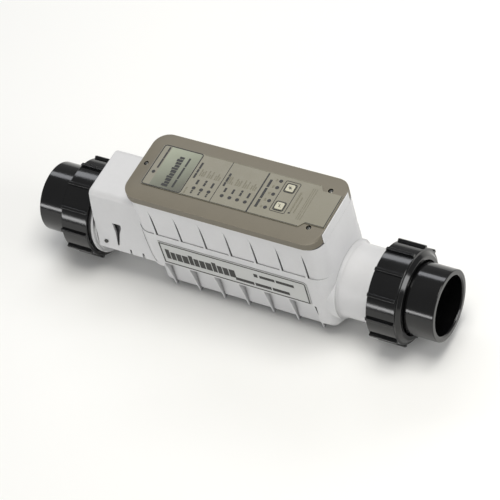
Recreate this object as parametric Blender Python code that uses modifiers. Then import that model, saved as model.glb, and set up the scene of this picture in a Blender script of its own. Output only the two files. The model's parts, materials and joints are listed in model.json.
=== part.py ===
"""Salt chlorine generator cell: a finned housing round a flow tube, with a union at each end.

Metres, +Z up. +X runs along the flow axis, -Y is the nameplate side, and z = 0 is the
surface that the grip ribs of the two union nuts stand on.
"""

import math

import bmesh
import bpy
from mathutils import Matrix, Vector

# Fits
GAP = 0.0003
ROUND = 24

# Unions. Everything on the flow axis is measured from the middle of the cell.
HALF_LENGTH = 0.22565
PITCH = 0.005
THREAD_TURNS = 3
NUT_START, NUT_END = 0.1600, 0.1945
NUT_RADIUS, NUT_BORE = 0.0484, 0.0440
NUT_LIP, NUT_LIP_BORE = 0.0093, 0.0380
THREAD_MIDDLE = NUT_START + 0.0094
RIB_RADIUS, RIB_WIDTH, RIB_COUNT = 0.0512, 0.0034, 12
NECK_RADIUS, THREAD_ROOT, BORE = 0.0375, 0.0405, 0.0300
NECK_END = 0.1783
TAIL_RADIUS, TAIL_FLANGE, FLANGE_THICK = 0.0365, 0.0409, 0.0062
SOCKET_RADIUS, SOCKET_DEPTH, PIPE_STOP_BORE = 0.03025, 0.038, 0.0262
SEAL_RADIUS, SEAL_THICK = 0.0352, 0.0026

# The ribs stand 15 degrees either side of straight down, so their corners set the height.
RIB_LEAN = math.radians(180 / RIB_COUNT)
AXIS_Z = math.hypot(RIB_RADIUS, RIB_WIDTH / 2) * math.cos(
    RIB_LEAN - math.atan2(RIB_WIDTH / 2, RIB_RADIUS)
)

# Housing, with heights above the flow axis
BODY_LEFT, BODY_RIGHT, BODY_HALF = -0.0965, 0.1222, 0.0410
CORNER = 0.0165
BAND_LOW, LEDGE, POCKET_TOP, BODY_TOP = -0.0040, 0.0419, 0.0786, 0.0880
POCKET_HALF = 0.0400
GROOVE_HALF, GROOVE_WIDTH = 0.0372, 0.0015
CHAMBER_LEFT, CHAMBER_RIGHT, CHAMBER_HALF, CHAMBER_LOW = -0.0890, 0.1130, 0.0325, -0.0445
CHAMBER_CORNER, CHAMBER_ROUND = 0.0080, 0.0040
OUTLET_FOOT_LEFT, OUTLET_FOOT_LOW, OUTLET_FOOT_ROUND = 0.1003, -0.0370, 0.0120
INLET_FOOT_RIGHT, INLET_FOOT_LOW, INLET_FOOT_ROUND = -0.0740, -0.0160, 0.0080
LIP_LEFT, LIP_TOP, LIP_HALF, LIP_TAPER = 0.1212, 0.1001, 0.0244, 0.0036
FIRST_FIN, FIN_STEP, FIN_COUNT, FIN_THICK = -0.07235, 0.0286, 7, 0.0026
LOWER_FIN_SHIFT, LOWER_FIN_THICK, FIN_TIP_HALF, FIN_TIP_LOW = -0.0026, 0.0018, 0.0340, -0.0470
CAVITY_HALF, CAVITY_FLOOR = 0.0335, 0.0410
CAVITY_LEFT, CAVITY_RIGHT, CAVITY_CORNER = -0.0905, 0.1165, 0.0120
STANDOFF_X, STANDOFF_Y, STANDOFF_RADIUS = (-0.0780, 0.0600), 0.0235, 0.0030
LID_POST_RADIUS, LEAD_HEIGHT, LEAD_HOLE = 0.0038, 0.0560, 0.0032

# Top cover and what sits in it
LID_LEFT, LID_RIGHT, LID_HALF, LID_CORNER = -0.0980, 0.1209, 0.0429, 0.0168
LID_LOW, LID_EDGE, LID_TOP, LID_SKIN = 0.0898, 0.0978, 0.1009, 0.0030
PANEL_LEFT, PANEL_HALF, PANEL_CORNER = -0.0825, 0.0270, 0.0050
TONGUE_START, TONGUE_HALF = 0.0945, 0.0205
FILM_THICK, FILM_EDGE = 0.0006, 0.0006
KEY_X, KEY_Y, KEY_SIZE, KEY_LOW = 0.0665, (-0.0095, 0.0135), 0.0085, 0.0950
DOT_RADIUS = 0.0014
DOT_ROW_Y, DOT_COLUMN_X = -0.0155, 0.0535
DOTS = [(-0.0260 + 0.0084 * k, DOT_ROW_Y) for k in range(3)]
DOTS += [(0.0056 + 0.0086 * k, DOT_ROW_Y) for k in range(4)]
DOTS += [(DOT_COLUMN_X, -0.0151 + 0.0085 * k) for k in range(5)]
BOARD_LOW, BOARD_THICK, BOARD_HALF = 0.0790, 0.0016, 0.0290
BOARD_LEFT, BOARD_RIGHT = -0.0840, 0.1100
SCREW_X, SCREW_Y = 0.1050, 0.0237
LID_SCREWS = {"lid_screw_left": (-0.0900, 0.0), "lid_screw_front": (SCREW_X, -SCREW_Y),
              "lid_screw_back": (SCREW_X, SCREW_Y)}

# Sensor cover over the inlet end of the tube
COVER_LEFT, COVER_WALL = -0.1522, 0.0025
COVER_TOP, COVER_TOP_HALF, COVER_LOW, COVER_LOW_HALF = 0.0675, 0.0300, -0.0060, 0.0410
COVER_EDGE = 0.0055
TUBE_RADIUS = 0.0355
GLAND_X, GLAND_HEIGHT, GLAND_HOLE, GLAND_NECK = -0.1300, 0.0340, 0.0078, 0.0074
COVER_SCREW_X, COVER_SCREW_HEIGHT = -0.1425, 0.0035
SLOT_OUTLINE = [(-0.1305, 0.0315), (-0.1282, 0.0210), (-0.1292, 0.0015), (-0.1272, 0.0015),
                (-0.1236, 0.0185), (-0.1200, 0.0275), (-0.1200, 0.0310)]
NOTCH_X, NOTCH_REACH, NOTCH_HIGH = (-0.1140, -0.0990), 0.0012, 0.0060

# Electrode stack
PLATE_COUNT, PLATE_STEP, PLATE_THICK = 9, 0.0050, 0.0012
PLATE_LEFT, PLATE_RIGHT, PLATE_HALF = -0.0700, 0.0900, 0.0190
HOLDER_THICK, HOLDER_RADIUS = 0.0060, 0.0294
HOLDER_WINDOW, HOLDER_WINDOW_HALF = 0.0165, 0.0222
POSTS = {"anode": -0.0500, "cathode": 0.0700}
POST_RADIUS = 0.0030

# Flow switch and probes on the inlet end
SWITCH_X, TEMPERATURE_X, SALINITY_X = -0.1240, -0.1430, -0.1045
SWITCH_RADIUS, SWITCH_BOSS, BOSS_TOP = 0.0095, 0.0130, 0.0450
PIN_HEIGHT, PADDLE_LOW, PADDLE_HALF = 0.0230, 0.0020, 0.0055

parts = bpy.data.collections.new("salt_chlorine_generator")
helpers = bpy.data.collections.new("cutters_and_joined_shapes")


def clear_scene():
    for item in list(bpy.data.objects):
        bpy.data.objects.remove(item, do_unlink=True)
    for collection in (parts, helpers):
        bpy.context.scene.collection.children.link(collection)


def look(name, colour, roughness, metallic=0.0):
    made = bpy.data.materials.new(name)
    made.use_nodes = True
    shader = made.node_tree.nodes["Principled BSDF"]
    shader.inputs["Base Color"].default_value = (*colour, 1.0)
    shader.inputs["Roughness"].default_value = roughness
    shader.inputs["Metallic"].default_value = metallic
    return made


WHITE = look("white_moulding", (0.72, 0.72, 0.73), 0.45)
TAUPE = look("taupe_moulding", (0.30, 0.28, 0.22), 0.5)
FILM = look("keypad_film", (0.40, 0.39, 0.31), 0.35)
PALE = look("pale_key", (0.62, 0.60, 0.50), 0.4)
LABEL = look("label_film", (0.50, 0.50, 0.47), 0.4)
BLACK = look("black_moulding", (0.010, 0.010, 0.011), 0.2)
RUBBER = look("seal_rubber", (0.02, 0.02, 0.02), 0.7)
CLEAR = look("light_pipe", (0.10, 0.11, 0.09), 0.2)
TITANIUM = look("coated_titanium", (0.12, 0.11, 0.11), 0.5, 1.0)
STEEL = look("stainless_steel", (0.55, 0.55, 0.55), 0.3, 1.0)
GREEN = look("circuit_board", (0.02, 0.16, 0.06), 0.4)
CHIP = look("component_black", (0.02, 0.02, 0.022), 0.5)


# Building blocks


def add(name, mesh, finish, place=None):
    """A finished part, or a hidden helper when it has no finish."""
    item = bpy.data.objects.new(name, mesh)
    if finish is None:
        helpers.objects.link(item)
        item.hide_render = True
        item.display_type = "WIRE"
    else:
        parts.objects.link(item)
        mesh.materials.append(finish)
    if place is not None:
        item.matrix_world = place
    return item


def mesh_of(name, bm):
    mesh = bpy.data.meshes.new(name)
    bmesh.ops.recalc_face_normals(bm, faces=bm.faces)
    bm.to_mesh(mesh)
    bm.free()
    mesh.shade_smooth()
    mesh.set_sharp_from_angle(angle=math.radians(30))
    return mesh


def box(name, low, high, finish=None):
    low, high = Vector(low), Vector(high)
    bm = bmesh.new()
    place = Matrix.Translation((low + high) / 2) @ Matrix.Diagonal((*(high - low), 1))
    bmesh.ops.create_cube(bm, size=1, matrix=place)
    return add(name, mesh_of(name, bm), finish)


def rod(name, start, end, radius, finish=None, sides=ROUND):
    start, end = Vector(start), Vector(end)
    turn = (end - start).to_track_quat("Z", "Y").to_matrix().to_4x4()
    bm = bmesh.new()
    bmesh.ops.create_cone(
        bm, cap_ends=True, segments=sides, radius1=radius, radius2=radius,
        depth=(end - start).length, matrix=Matrix.Translation((start + end) / 2) @ turn,
    )
    return add(name, mesh_of(name, bm), finish)


def loft(name, rings, finish=None):
    """A closed solid through rings of points that all have the same number of points."""
    bm = bmesh.new()
    rows = [[bm.verts.new(point) for point in ring] for ring in rings]
    for low, high in zip(rows, rows[1:]):
        for k in range(len(low)):
            bm.faces.new((low[k - 1], low[k], high[k], high[k - 1]))
    bm.faces.new(rows[0])
    bm.faces.new(rows[-1])
    bmesh.ops.remove_doubles(bm, verts=bm.verts, dist=0.000001)
    return add(name, mesh_of(name, bm), finish)


def corner_arc(centre, radius, first, steps=3):
    """Points of a quarter turn, anticlockwise from the angle `first` in degrees."""
    angles = [math.radians(first + 90 * k / steps) for k in range(steps + 1)]
    return [
        (centre[0] + radius * math.cos(a), centre[1] + radius * math.sin(a)) for a in angles
    ]


def plan(x0, x1, half, left_corner, right_corner):
    """A rectangle seen from above, with its own corner radius at each end."""
    right, left = x1 - right_corner, x0 + left_corner
    points = corner_arc((right, half - right_corner), right_corner, 0)
    points += corner_arc((left, half - left_corner), left_corner, 90)
    points += corner_arc((left, left_corner - half), left_corner, 180)
    return points + corner_arc((right, right_corner - half), right_corner, 270)


def at_height(outline, height):
    return [(x, y, AXIS_Z + height) for x, y in outline]


def turned(name, profile, place, finish=None, steps=ROUND):
    """A turned shape. The profile lists (distance along the axis, radius), far end first."""
    mesh = bpy.data.meshes.new(name)
    count = len(profile)
    closed = profile[0][1] > 0
    edges = [(k, k + 1) for k in range(count - 1)] + [(count - 1, 0)] * closed
    mesh.from_pydata([(radius, 0, along) for along, radius in profile], edges, [])
    item = add(name, mesh, finish, place)
    screw = item.modifiers.new("Turn", "SCREW")
    screw.steps = screw.render_steps = steps
    screw.use_merge_vertices = True
    screw.merge_threshold = 0.00001
    return item


def plate(name, outline, thickness, place, finish=None):
    """A flat outline given a thickness, half to each side of its own plane."""
    curve = bpy.data.curves.new(name, "CURVE")
    curve.dimensions = "2D"
    curve.fill_mode = "BOTH"
    curve.extrude = thickness / 2
    spline = curve.splines.new("POLY")
    spline.points.add(len(outline) - 1)
    for point, (x, y) in zip(spline.points, outline):
        point.co = (x, y, 0, 1)
    spline.use_cyclic_u = True
    guide = bpy.data.objects.new(name, curve)
    helpers.objects.link(guide)
    bpy.context.view_layer.update()
    flat = guide.evaluated_get(bpy.context.evaluated_depsgraph_get())
    mesh = bpy.data.meshes.new_from_object(flat)
    bpy.data.objects.remove(guide)
    bm = bmesh.new()
    bm.from_mesh(mesh)
    bmesh.ops.remove_doubles(bm, verts=bm.verts, dist=0.00001)
    return add(name, mesh_of(name, bm), finish, place)


def change(item, operation, others):
    """Joins helpers to an item or cuts them from it, in one Boolean."""
    group = bpy.data.collections.new(f"{item.name}_{operation.lower()}_{len(item.modifiers)}")
    helpers.children.link(group)
    for other in others:
        group.objects.link(other)
    modifier = item.modifiers.new(operation.title(), "BOOLEAN")
    modifier.operation = operation
    modifier.solver = "EXACT"
    modifier.operand_type = "COLLECTION"
    modifier.collection = group
    return item


def join(item, *others):
    return change(item, "UNION", others)


def cut(item, *others):
    return change(item, "DIFFERENCE", others)


ACROSS_X = Matrix(((0, 0, 1, 0), (1, 0, 0, 0), (0, 1, 0, AXIS_Z), (0, 0, 0, 1)))
ACROSS_Y = Matrix(((1, 0, 0, 0), (0, 0, -1, 0), (0, 1, 0, AXIS_Z), (0, 0, 0, 1)))
ALONG_X = Matrix.Translation((0, 0, AXIS_Z)) @ Matrix.Rotation(math.pi / 2, 4, "Y")
HALF_TURN = Matrix.Rotation(math.pi, 4, "Z")
ENDS = {"right": Matrix.Identity(4), "left": HALF_TURN}


def upright(x, y=0.0):
    """Stands a turned shape on a vertical axis, with heights above the flow axis."""
    return Matrix.Translation((x, y, AXIS_Z))


def thread(name, root, crest, middle, place):
    """A helical ridge of THREAD_TURNS turns. An inside thread has its crest nearer the axis."""
    broad, narrow = 0.0011, 0.0007
    ridge = [(-broad, root), (-narrow, crest), (narrow, crest), (broad, root)]
    start = middle - PITCH * THREAD_TURNS / 2
    mesh = bpy.data.meshes.new(name)
    points = [(radius, 0, start + along) for along, radius in ridge]
    mesh.from_pydata(points, [(0, 1), (1, 2), (2, 3), (3, 0)], [])
    item = add(name, mesh, None, place)
    screw = item.modifiers.new("Helix", "SCREW")
    screw.steps = screw.render_steps = ROUND
    screw.screw_offset = PITCH
    screw.iterations = THREAD_TURNS
    screw.use_merge_vertices = False
    bpy.context.view_layer.update()
    swept = item.evaluated_get(bpy.context.evaluated_depsgraph_get())
    bm = bmesh.new()
    bm.from_mesh(bpy.data.meshes.new_from_object(swept))
    bmesh.ops.remove_doubles(bm, verts=bm.verts, dist=0.000001)
    bmesh.ops.holes_fill(bm, edges=[edge for edge in bm.edges if edge.is_boundary])
    item.modifiers.clear()
    item.data = mesh_of(name, bm)
    return item


# Housing


def body_levels(clearance=0.0, low=BAND_LOW):
    """The finned body's outline at each height: the band, the ledge, the sloping pocket, the crown."""
    levels = (
        (low, BODY_HALF), (LEDGE + clearance, BODY_HALF),
        (LEDGE + clearance + 0.00001, POCKET_HALF), (POCKET_TOP, BODY_HALF), (BODY_TOP, BODY_HALF),
    )
    return [
        at_height(
            plan(BODY_LEFT - clearance, BODY_RIGHT + clearance, half + clearance, CORNER, CORNER),
            height,
        )
        for height, half in levels
    ]


def lobe(name, x0, x1, half, low, left_corner, right_corner, drop):
    """A block below the band whose lower edge is rounded by `drop`."""
    rings = []
    for k in range(4):
        angle = math.radians(30 * k)
        inset = drop * (1 - math.sin(angle))
        outline = plan(x0 + inset * (left_corner > 0), x1 - inset * (right_corner > 0),
                       half - inset,
                       max(left_corner - inset, 0), max(right_corner - inset, 0))
        rings.append(at_height(outline, low + drop * (1 - math.cos(angle))))
    rings.append(at_height(outline, BAND_LOW + 0.002))
    return loft(name, rings)


def lower_fin(name, x):
    side = [(BODY_HALF - 0.0004, BAND_LOW + 0.001), (FIN_TIP_HALF, FIN_TIP_LOW)]
    outline = side + [(-y, z) for y, z in reversed(side)]
    place = Matrix.Translation((x + LOWER_FIN_SHIFT, 0, 0)) @ ACROSS_X
    return plate(name, outline, LOWER_FIN_THICK, place)


def end_lip():
    """The rise of the outlet end wall that closes off the lid's flat end."""
    face, back = BODY_RIGHT - 0.0001, LIP_LEFT
    outline = [(back, -LIP_HALF - LIP_TAPER), (face, -LIP_HALF), (face, LIP_HALF),
               (back, LIP_HALF + LIP_TAPER)]
    return loft("end_lip", [at_height(outline, BODY_TOP - 0.002), at_height(outline, LIP_TOP)])


def fin_grooves():
    """Narrow wedges beside the upper fins, deepest at the ledge, which drain the pockets."""
    wedge = [(BODY_HALF + 0.001, POCKET_TOP), (BODY_HALF, POCKET_TOP), (GROOVE_HALF, LEDGE),
             (BODY_HALF + 0.001, LEDGE)]
    grooves = []
    for k in range(FIN_COUNT):
        x = FIRST_FIN + FIN_STEP * k + (FIN_THICK + GROOVE_WIDTH) / 2
        for side in (-1, 1):
            outline = [(side * y, z) for y, z in wedge]
            place = Matrix.Translation((x, 0, 0)) @ ACROSS_X
            grooves.append(plate(f"groove_{k}_{side}", outline, GROOVE_WIDTH, place))
    return grooves


def housing_shapes():
    """What is joined to the finned body: chamber, feet, lip, fins, tube ends and threads."""
    foot_half = BODY_HALF - 0.0001
    shapes = [
        lobe("chamber", CHAMBER_LEFT, CHAMBER_RIGHT, CHAMBER_HALF, CHAMBER_LOW, CHAMBER_CORNER,
             CHAMBER_CORNER, CHAMBER_ROUND),
        lobe("outlet_foot", OUTLET_FOOT_LEFT, BODY_RIGHT, foot_half, OUTLET_FOOT_LOW, 0, CORNER,
             OUTLET_FOOT_ROUND),
        lobe("inlet_foot", BODY_LEFT, INLET_FOOT_RIGHT, foot_half, INLET_FOOT_LOW, CORNER, 0,
             INLET_FOOT_ROUND),
        end_lip(),
    ]
    for k in range(FIN_COUNT):
        x = FIRST_FIN + FIN_STEP * k
        shapes.append(lower_fin(f"lower_fin_{k}", x))
        low = (x - FIN_THICK / 2, -BODY_HALF - 0.0001, AXIS_Z + LEDGE - 0.001)
        high = (x + FIN_THICK / 2, BODY_HALF + 0.0001, AXIS_Z + POCKET_TOP + 0.001)
        shapes.append(box(f"upper_fin_{k}", low, high))
    flare = [(BODY_RIGHT + 0.0035 - 0.0033 * math.cos(a), 0.0408 - 0.0033 * math.sin(a))
             for a in map(math.radians, (90, 60, 30, 0))]
    outlet = [(NECK_END, 0), (NECK_END, THREAD_ROOT), (0.1600, THREAD_ROOT),
              (0.1570, NECK_RADIUS), *flare, (0.1100, 0.0400), (0.1100, 0)]
    inlet = [(NECK_END, 0), (NECK_END, THREAD_ROOT), (0.1590, THREAD_ROOT),
             (0.1575, 0.0435), (0.1552, 0.0435), (0.1550, 0.0405), (0.1528, 0.0405),
             (0.1526, TUBE_RADIUS), (0.0900, TUBE_RADIUS), (0.0900, 0)]
    shapes.append(turned("outlet_tube", outlet, ALONG_X))
    shapes.append(turned("inlet_tube", inlet, HALF_TURN @ ALONG_X))
    for end, turn in ENDS.items():
        ridge = thread(f"{end}_male_thread", 0.0402, 0.0430, THREAD_MIDDLE, turn @ ALONG_X)
        shapes.append(ridge)
    shapes.append(rod("switch_boss", *column(SWITCH_X, 0.0315, BOSS_TOP), SWITCH_BOSS))
    shapes.append(rod("temperature_boss", *column(TEMPERATURE_X, 0.0315, BOSS_TOP), 0.0055))
    shapes.append(rod("salinity_boss", *column(SALINITY_X, 0.0315, BOSS_TOP), 0.0055))
    return shapes


def column(x, low, high, y=0.0):
    return (x, y, AXIS_Z + low), (x, y, AXIS_Z + high)


def standoffs():
    """Moulded posts that hold the circuit board at its corners."""
    posts = []
    for x in STANDOFF_X:
        for y in (-STANDOFF_Y, STANDOFF_Y):
            name = f"standoff_{'left' if x < 0 else 'right'}_{'front' if y < 0 else 'back'}"
            ends = column(x, CAVITY_FLOOR - 0.001, BOARD_LOW - GAP, y)
            posts.append(rod(name, *ends, STANDOFF_RADIUS, sides=12))
    return posts


def housing_cutters():
    """The flow bore, the seal grooves, the ports and the grooves beside the fins."""
    ends = (-HALF_LENGTH, 0, AXIS_Z), (HALF_LENGTH, 0, AXIS_Z)
    cutters = [rod("flow_bore", *ends, BORE), *fin_grooves()]
    for end, turn in ENDS.items():
        groove = ring_profile(NECK_END + 0.001, NECK_END - 0.0029, SEAL_RADIUS + 0.0021,
                              SEAL_RADIUS - 0.0021)
        cutters.append(turned(f"{end}_seal_groove", groove, turn @ ALONG_X))
    for name, x in POSTS.items():
        ends = column(x, 0.020, CAVITY_FLOOR + 0.002)
        cutters.append(rod(f"{name}_post_hole", *ends, POST_RADIUS + GAP, sides=16))
    ports = {"switch": (SWITCH_X, SWITCH_RADIUS + GAP), "temperature": (TEMPERATURE_X, 0.0026),
             "salinity": (SALINITY_X, 0.0036)}
    for name, (x, radius) in ports.items():
        cutters.append(rod(f"{name}_port", *column(x, 0.010, 0.060), radius, sides=16))
    lead_hole = [(x, 0, AXIS_Z + LEAD_HEIGHT) for x in (BODY_LEFT - 0.002, CAVITY_LEFT + 0.002)]
    cutters.append(rod("lead_hole", *lead_hole, LEAD_HOLE, sides=16))
    for side in (-1, 1):
        ends = [(COVER_SCREW_X, side * y, AXIS_Z + COVER_SCREW_HEIGHT) for y in (0.0318, 0.0365)]
        cutters.append(rod(f"cover_screw_hole_{side}", *ends, 0.0014, sides=10))
    return cutters


def cell_housing():
    item = loft("cell_housing", body_levels(), WHITE)
    join(item, *housing_shapes())
    cut(item, cavity("electronics_space", 0.0, CAVITY_FLOOR))
    join(item, *standoffs(), *lid_posts())
    return cut(item, *housing_cutters(), *lid_screw_holes(AXIS_Z + 0.078))


def cavity(name, larger, floor):
    """The space under the top cover, open upwards, with its corners rounded like the body's."""
    outline = plan(CAVITY_LEFT - larger, CAVITY_RIGHT + larger, CAVITY_HALF + larger,
                   CAVITY_CORNER, CAVITY_CORNER)
    return loft(name, [at_height(outline, floor), at_height(outline, BODY_TOP + 0.01)])


def lid_posts():
    """Bosses that the lid screws bite into: one on the inlet wall, two standing on the floor."""
    x, y = LID_SCREWS["lid_screw_left"]
    low, high = Vector((x, y, AXIS_Z + 0.070)), Vector((x, y, AXIS_Z + BODY_TOP - 0.0001))
    reach = Vector((0.0035, 0.0035, 0))
    posts = [box("lid_post_left", low - reach, high + reach)]
    for side in (-1, 1):
        ends = column(SCREW_X, CAVITY_FLOOR - 0.001, BODY_TOP - 0.0001, side * SCREW_Y)
        posts.append(rod(f"lid_post_{side}", *ends, LID_POST_RADIUS, sides=12))
    return posts


def lid_screw_holes(low):
    return [rod(f"{name}_hole", (x, y, low), (x, y, AXIS_Z + 0.120), 0.0014, sides=10)
            for name, (x, y) in LID_SCREWS.items()]


def ring_profile(far, near, outer, inner):
    return [(far, inner), (far, outer), (near, outer), (near, inner)]


# Lid, keypad and electronics


def top_cover():
    outer = plan(LID_LEFT, LID_RIGHT, LID_HALF, LID_CORNER, LID_CORNER)
    flat = plan(PANEL_LEFT, LID_RIGHT, PANEL_HALF, PANEL_CORNER, 0.0010)
    rings = [at_height(outer, LID_LOW), at_height(outer, LID_EDGE), at_height(flat, LID_TOP)]
    item = loft("top_cover", rings, TAUPE)
    low = (-0.0845, -0.0275, AXIS_Z + LID_LOW - 0.001)
    high = (0.1130, 0.0275, AXIS_Z + LID_EDGE - 0.0012)
    cut(item, box("lid_hollow", low, high))
    bosses = []
    for side in (-1, 1):
        ends = column(SCREW_X, LID_LOW, LID_EDGE, side * SCREW_Y)
        bosses.append(rod(f"lid_boss_{side}", *ends, 0.0045, sides=16))
    join(item, *bosses)
    low = (-0.0800, -0.0200, AXIS_Z + LID_LOW - 0.001)
    high = (0.0950, 0.0245, AXIS_Z + LID_TOP - LID_SKIN)
    cutters = [box("lid_upper_hollow", low, high), *lid_screw_holes(AXIS_Z + 0.080)]
    for k, (x, y) in enumerate(DOTS):
        ends = column(x, 0.095, 0.110, y)
        cutters.append(rod(f"dot_hole_{k}", *ends, DOT_RADIUS + GAP, sides=8))
    cutters += key_openings("key_hole")
    for name, (x, y) in LID_SCREWS.items():
        ends = column(x, screw_seat(y), 0.110, y)
        cutters.append(rod(f"{name}_recess", *ends, 0.0028, sides=16))
    return cut(item, *cutters)


def key_openings(name):
    """Square openings right through the lid's skin and the film, one for each key."""
    reach = KEY_SIZE / 2 + GAP
    openings = []
    for k, y in enumerate(KEY_Y):
        low = (KEY_X - reach, y - reach, AXIS_Z + LID_LOW)
        high = (KEY_X + reach, y + reach, AXIS_Z + LID_TOP + 0.01)
        openings.append(box(f"{name}_{k}", low, high))
    return openings


def screw_seat(y):
    """Height of the pocket that a lid screw's head sits in, lower on the inlet end's slope."""
    return LID_TOP - (0.0036 if y == 0 else 0.0026)


def lid_gasket():
    inset = 0.0016
    corner = CORNER - inset
    outer = plan(BODY_LEFT + inset, BODY_RIGHT - inset, BODY_HALF - inset, corner, corner)
    rings = [at_height(outer, BODY_TOP + GAP), at_height(outer, LID_LOW - GAP)]
    item = loft("lid_gasket", rings, RUBBER)
    x, y = LID_SCREWS["lid_screw_left"]
    notch = rod("gasket_notch", *column(x, BODY_TOP - 0.01, LID_LOW + 0.01, y), 0.0020, sides=12)
    return cut(item, cavity("gasket_opening", 0.001, BODY_TOP - 0.01), notch)


def control_overlay():
    """The keypad film: a wide field, then a narrower tongue to the cover's end."""
    half = PANEL_HALF - FILM_EDGE
    outline = [(LID_RIGHT - FILM_EDGE, TONGUE_HALF), (TONGUE_START + 0.004, TONGUE_HALF),
               (TONGUE_START, half), (PANEL_LEFT + 0.003, half),
               (PANEL_LEFT + FILM_EDGE, half - 0.003)]
    outline += [(x, -y) for x, y in reversed(outline)]
    rings = [at_height(outline, LID_TOP + GAP), at_height(outline, LID_TOP + GAP + FILM_THICK)]
    return cut(loft("control_overlay", rings, FILM), *key_openings("key_window"))


def key(name, y):
    """A key cap with a hidden flange under the lid's skin. Its origin is on its travel axis."""
    reach, flange = KEY_SIZE / 2, KEY_SIZE / 2 + 0.0010
    low = Vector((KEY_X, y, AXIS_Z + KEY_LOW))
    high = Vector((KEY_X, y, AXIS_Z + LID_TOP + 0.0018))
    flange_low, flange_high = Vector((flange, flange, 0)), Vector((flange, flange, 0.0016))
    item = box(name, low - flange_low, low + flange_high, PALE)
    cap_low, cap_high = Vector((reach, reach, -0.0004)), Vector((reach, reach, 0))
    return join(item, box(f"{name}_cap", low - cap_low, high + cap_high))


def key_switch(name, y):
    reach = Vector((0.0030, 0.0030, 0))
    low, high = (Vector((KEY_X, y, AXIS_Z + z)) for z in (BOARD_LOW + BOARD_THICK + GAP, 0.0850))
    item = box(name, low - reach, high + reach, CHIP)
    return join(item, rod(f"{name}_plunger", *column(KEY_X, 0.084, 0.0938, y), 0.0017, sides=12))


def indicator_lights():
    """One clear moulding: rails under the lid with a round stud up to each dot."""
    low_z, high_z = AXIS_Z + 0.0945, AXIS_Z + 0.0965
    first, last = DOTS[0][0] - 0.003, DOT_COLUMN_X + 0.003
    half = 0.0025
    item = box("indicator_lights", (first, DOT_ROW_Y - half, low_z),
               (last, DOT_ROW_Y + half, high_z), CLEAR)
    column_low = (DOT_COLUMN_X - half, DOT_ROW_Y, low_z + 0.0001)
    column_high = (DOT_COLUMN_X + half, DOTS[-1][1] + 0.003, high_z - 0.0001)
    studs = [rod(f"stud_{k}", *column(x, 0.0955, LID_TOP - 0.0001, y), DOT_RADIUS, sides=8)
             for k, (x, y) in enumerate(DOTS)]
    leg_ends = column(DOTS[0][0], BOARD_LOW + BOARD_THICK + GAP, 0.095, DOT_ROW_Y)
    leg = rod("light_leg", *leg_ends, 0.002, sides=8)
    return join(item, box("dot_column_rail", column_low, column_high), leg, *studs)


def electronics():
    low = (BOARD_LEFT, -BOARD_HALF, AXIS_Z + BOARD_LOW)
    high = (BOARD_RIGHT, BOARD_HALF, AXIS_Z + BOARD_LOW + BOARD_THICK)
    board = box("circuit_board", low, high, GREEN)
    notch_low, notch_high = (-0.10, -0.0045, low[2] - 0.01), (-0.0820, 0.0045, high[2] + 0.01)
    cutters = [box("board_notch", notch_low, notch_high)]
    for side in (-1, 1):
        ends = column(SCREW_X, 0.07, 0.09, side * SCREW_Y)
        cutters.append(rod(f"board_hole_{side}", *ends, LID_POST_RADIUS + 0.0004, sides=12))
    cut(board, *cutters)
    under = AXIS_Z + BOARD_LOW - GAP
    over = AXIS_Z + BOARD_LOW + BOARD_THICK + GAP
    power = box("power_module", (0.0200, -0.0180, under - 0.0220), (0.0560, 0.0180, under), CHIP)
    slots = [
        box(f"heat_fin_gap_{k}", (0.0235 + 0.0055 * k, -0.02, under - 0.03),
            (0.0265 + 0.0055 * k, 0.02, under - 0.0100))
        for k in range(6)
    ]
    cut(power, *slots)
    box("processor_chip", (0.0850, -0.0080, over), (0.1000, 0.0080, over + 0.0020), CHIP)
    low, high = (-0.0760, -0.0060, under - 0.0080), (-0.0640, 0.0060, under)
    connector = box("lead_connector", low, high, PALE)
    low, high = (-0.08, -0.0026, under - 0.0066), (-0.0700, 0.0026, under - 0.0014)
    cut(connector, box("lead_entry", low, high))


def lid_screw(name, x, y):
    seat = screw_seat(y) + GAP
    head = [(seat + 0.0018, 0), (seat + 0.0018, 0.0018), (seat + 0.0008, 0.0025), (seat, 0.0025),
            (seat, 0.0011), (0.0783, 0.0011), (0.0783, 0)]
    return turned(name, head, upright(x, y), STEEL, steps=12)


def nameplate():
    """The printed label below the upper fins, with a rounded corner at its upper outlet end."""
    low, high = -0.0006, 0.0329
    right, left = 0.09645, FIRST_FIN
    outline = corner_arc((right - 0.004, high - 0.004), 0.004, 0)
    outline += [(left, high), (left, low), (right, low)]
    place = Matrix.Translation((0, -BODY_HALF - GAP - 0.0003, 0)) @ ACROSS_Y
    return plate("nameplate", outline, 0.0006, place, LABEL)


# Sensor cover and sensors


def cover_outline(inset):
    """Cross-section of the cover: (y, height), sides leaning in to a flat top, open below."""
    slope = (COVER_LOW_HALF - COVER_TOP_HALF) / (COVER_TOP - COVER_LOW)
    lean = math.hypot(1, slope)
    top = COVER_TOP - inset
    bottom = COVER_LOW - inset * 2
    edge = COVER_EDGE - inset

    def half_at(height):
        return COVER_TOP_HALF + (COVER_TOP - height) * slope - inset * lean

    side = [(half_at(bottom), bottom), (half_at(top - edge), top - edge)]
    for share in (0.35, 0.75):
        side.append((half_at(top - edge) - edge * share ** 2, top - edge * (1 - share) ** 1.6))
    side.append((half_at(top) - edge, top))
    return side + [(-y, z) for y, z in reversed(side)]


def gland_axis(y0, y1):
    """Two points on the axis of the cord gland."""
    return (GLAND_X, y0, AXIS_Z + GLAND_HEIGHT), (GLAND_X, y1, AXIS_Z + GLAND_HEIGHT)


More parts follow.
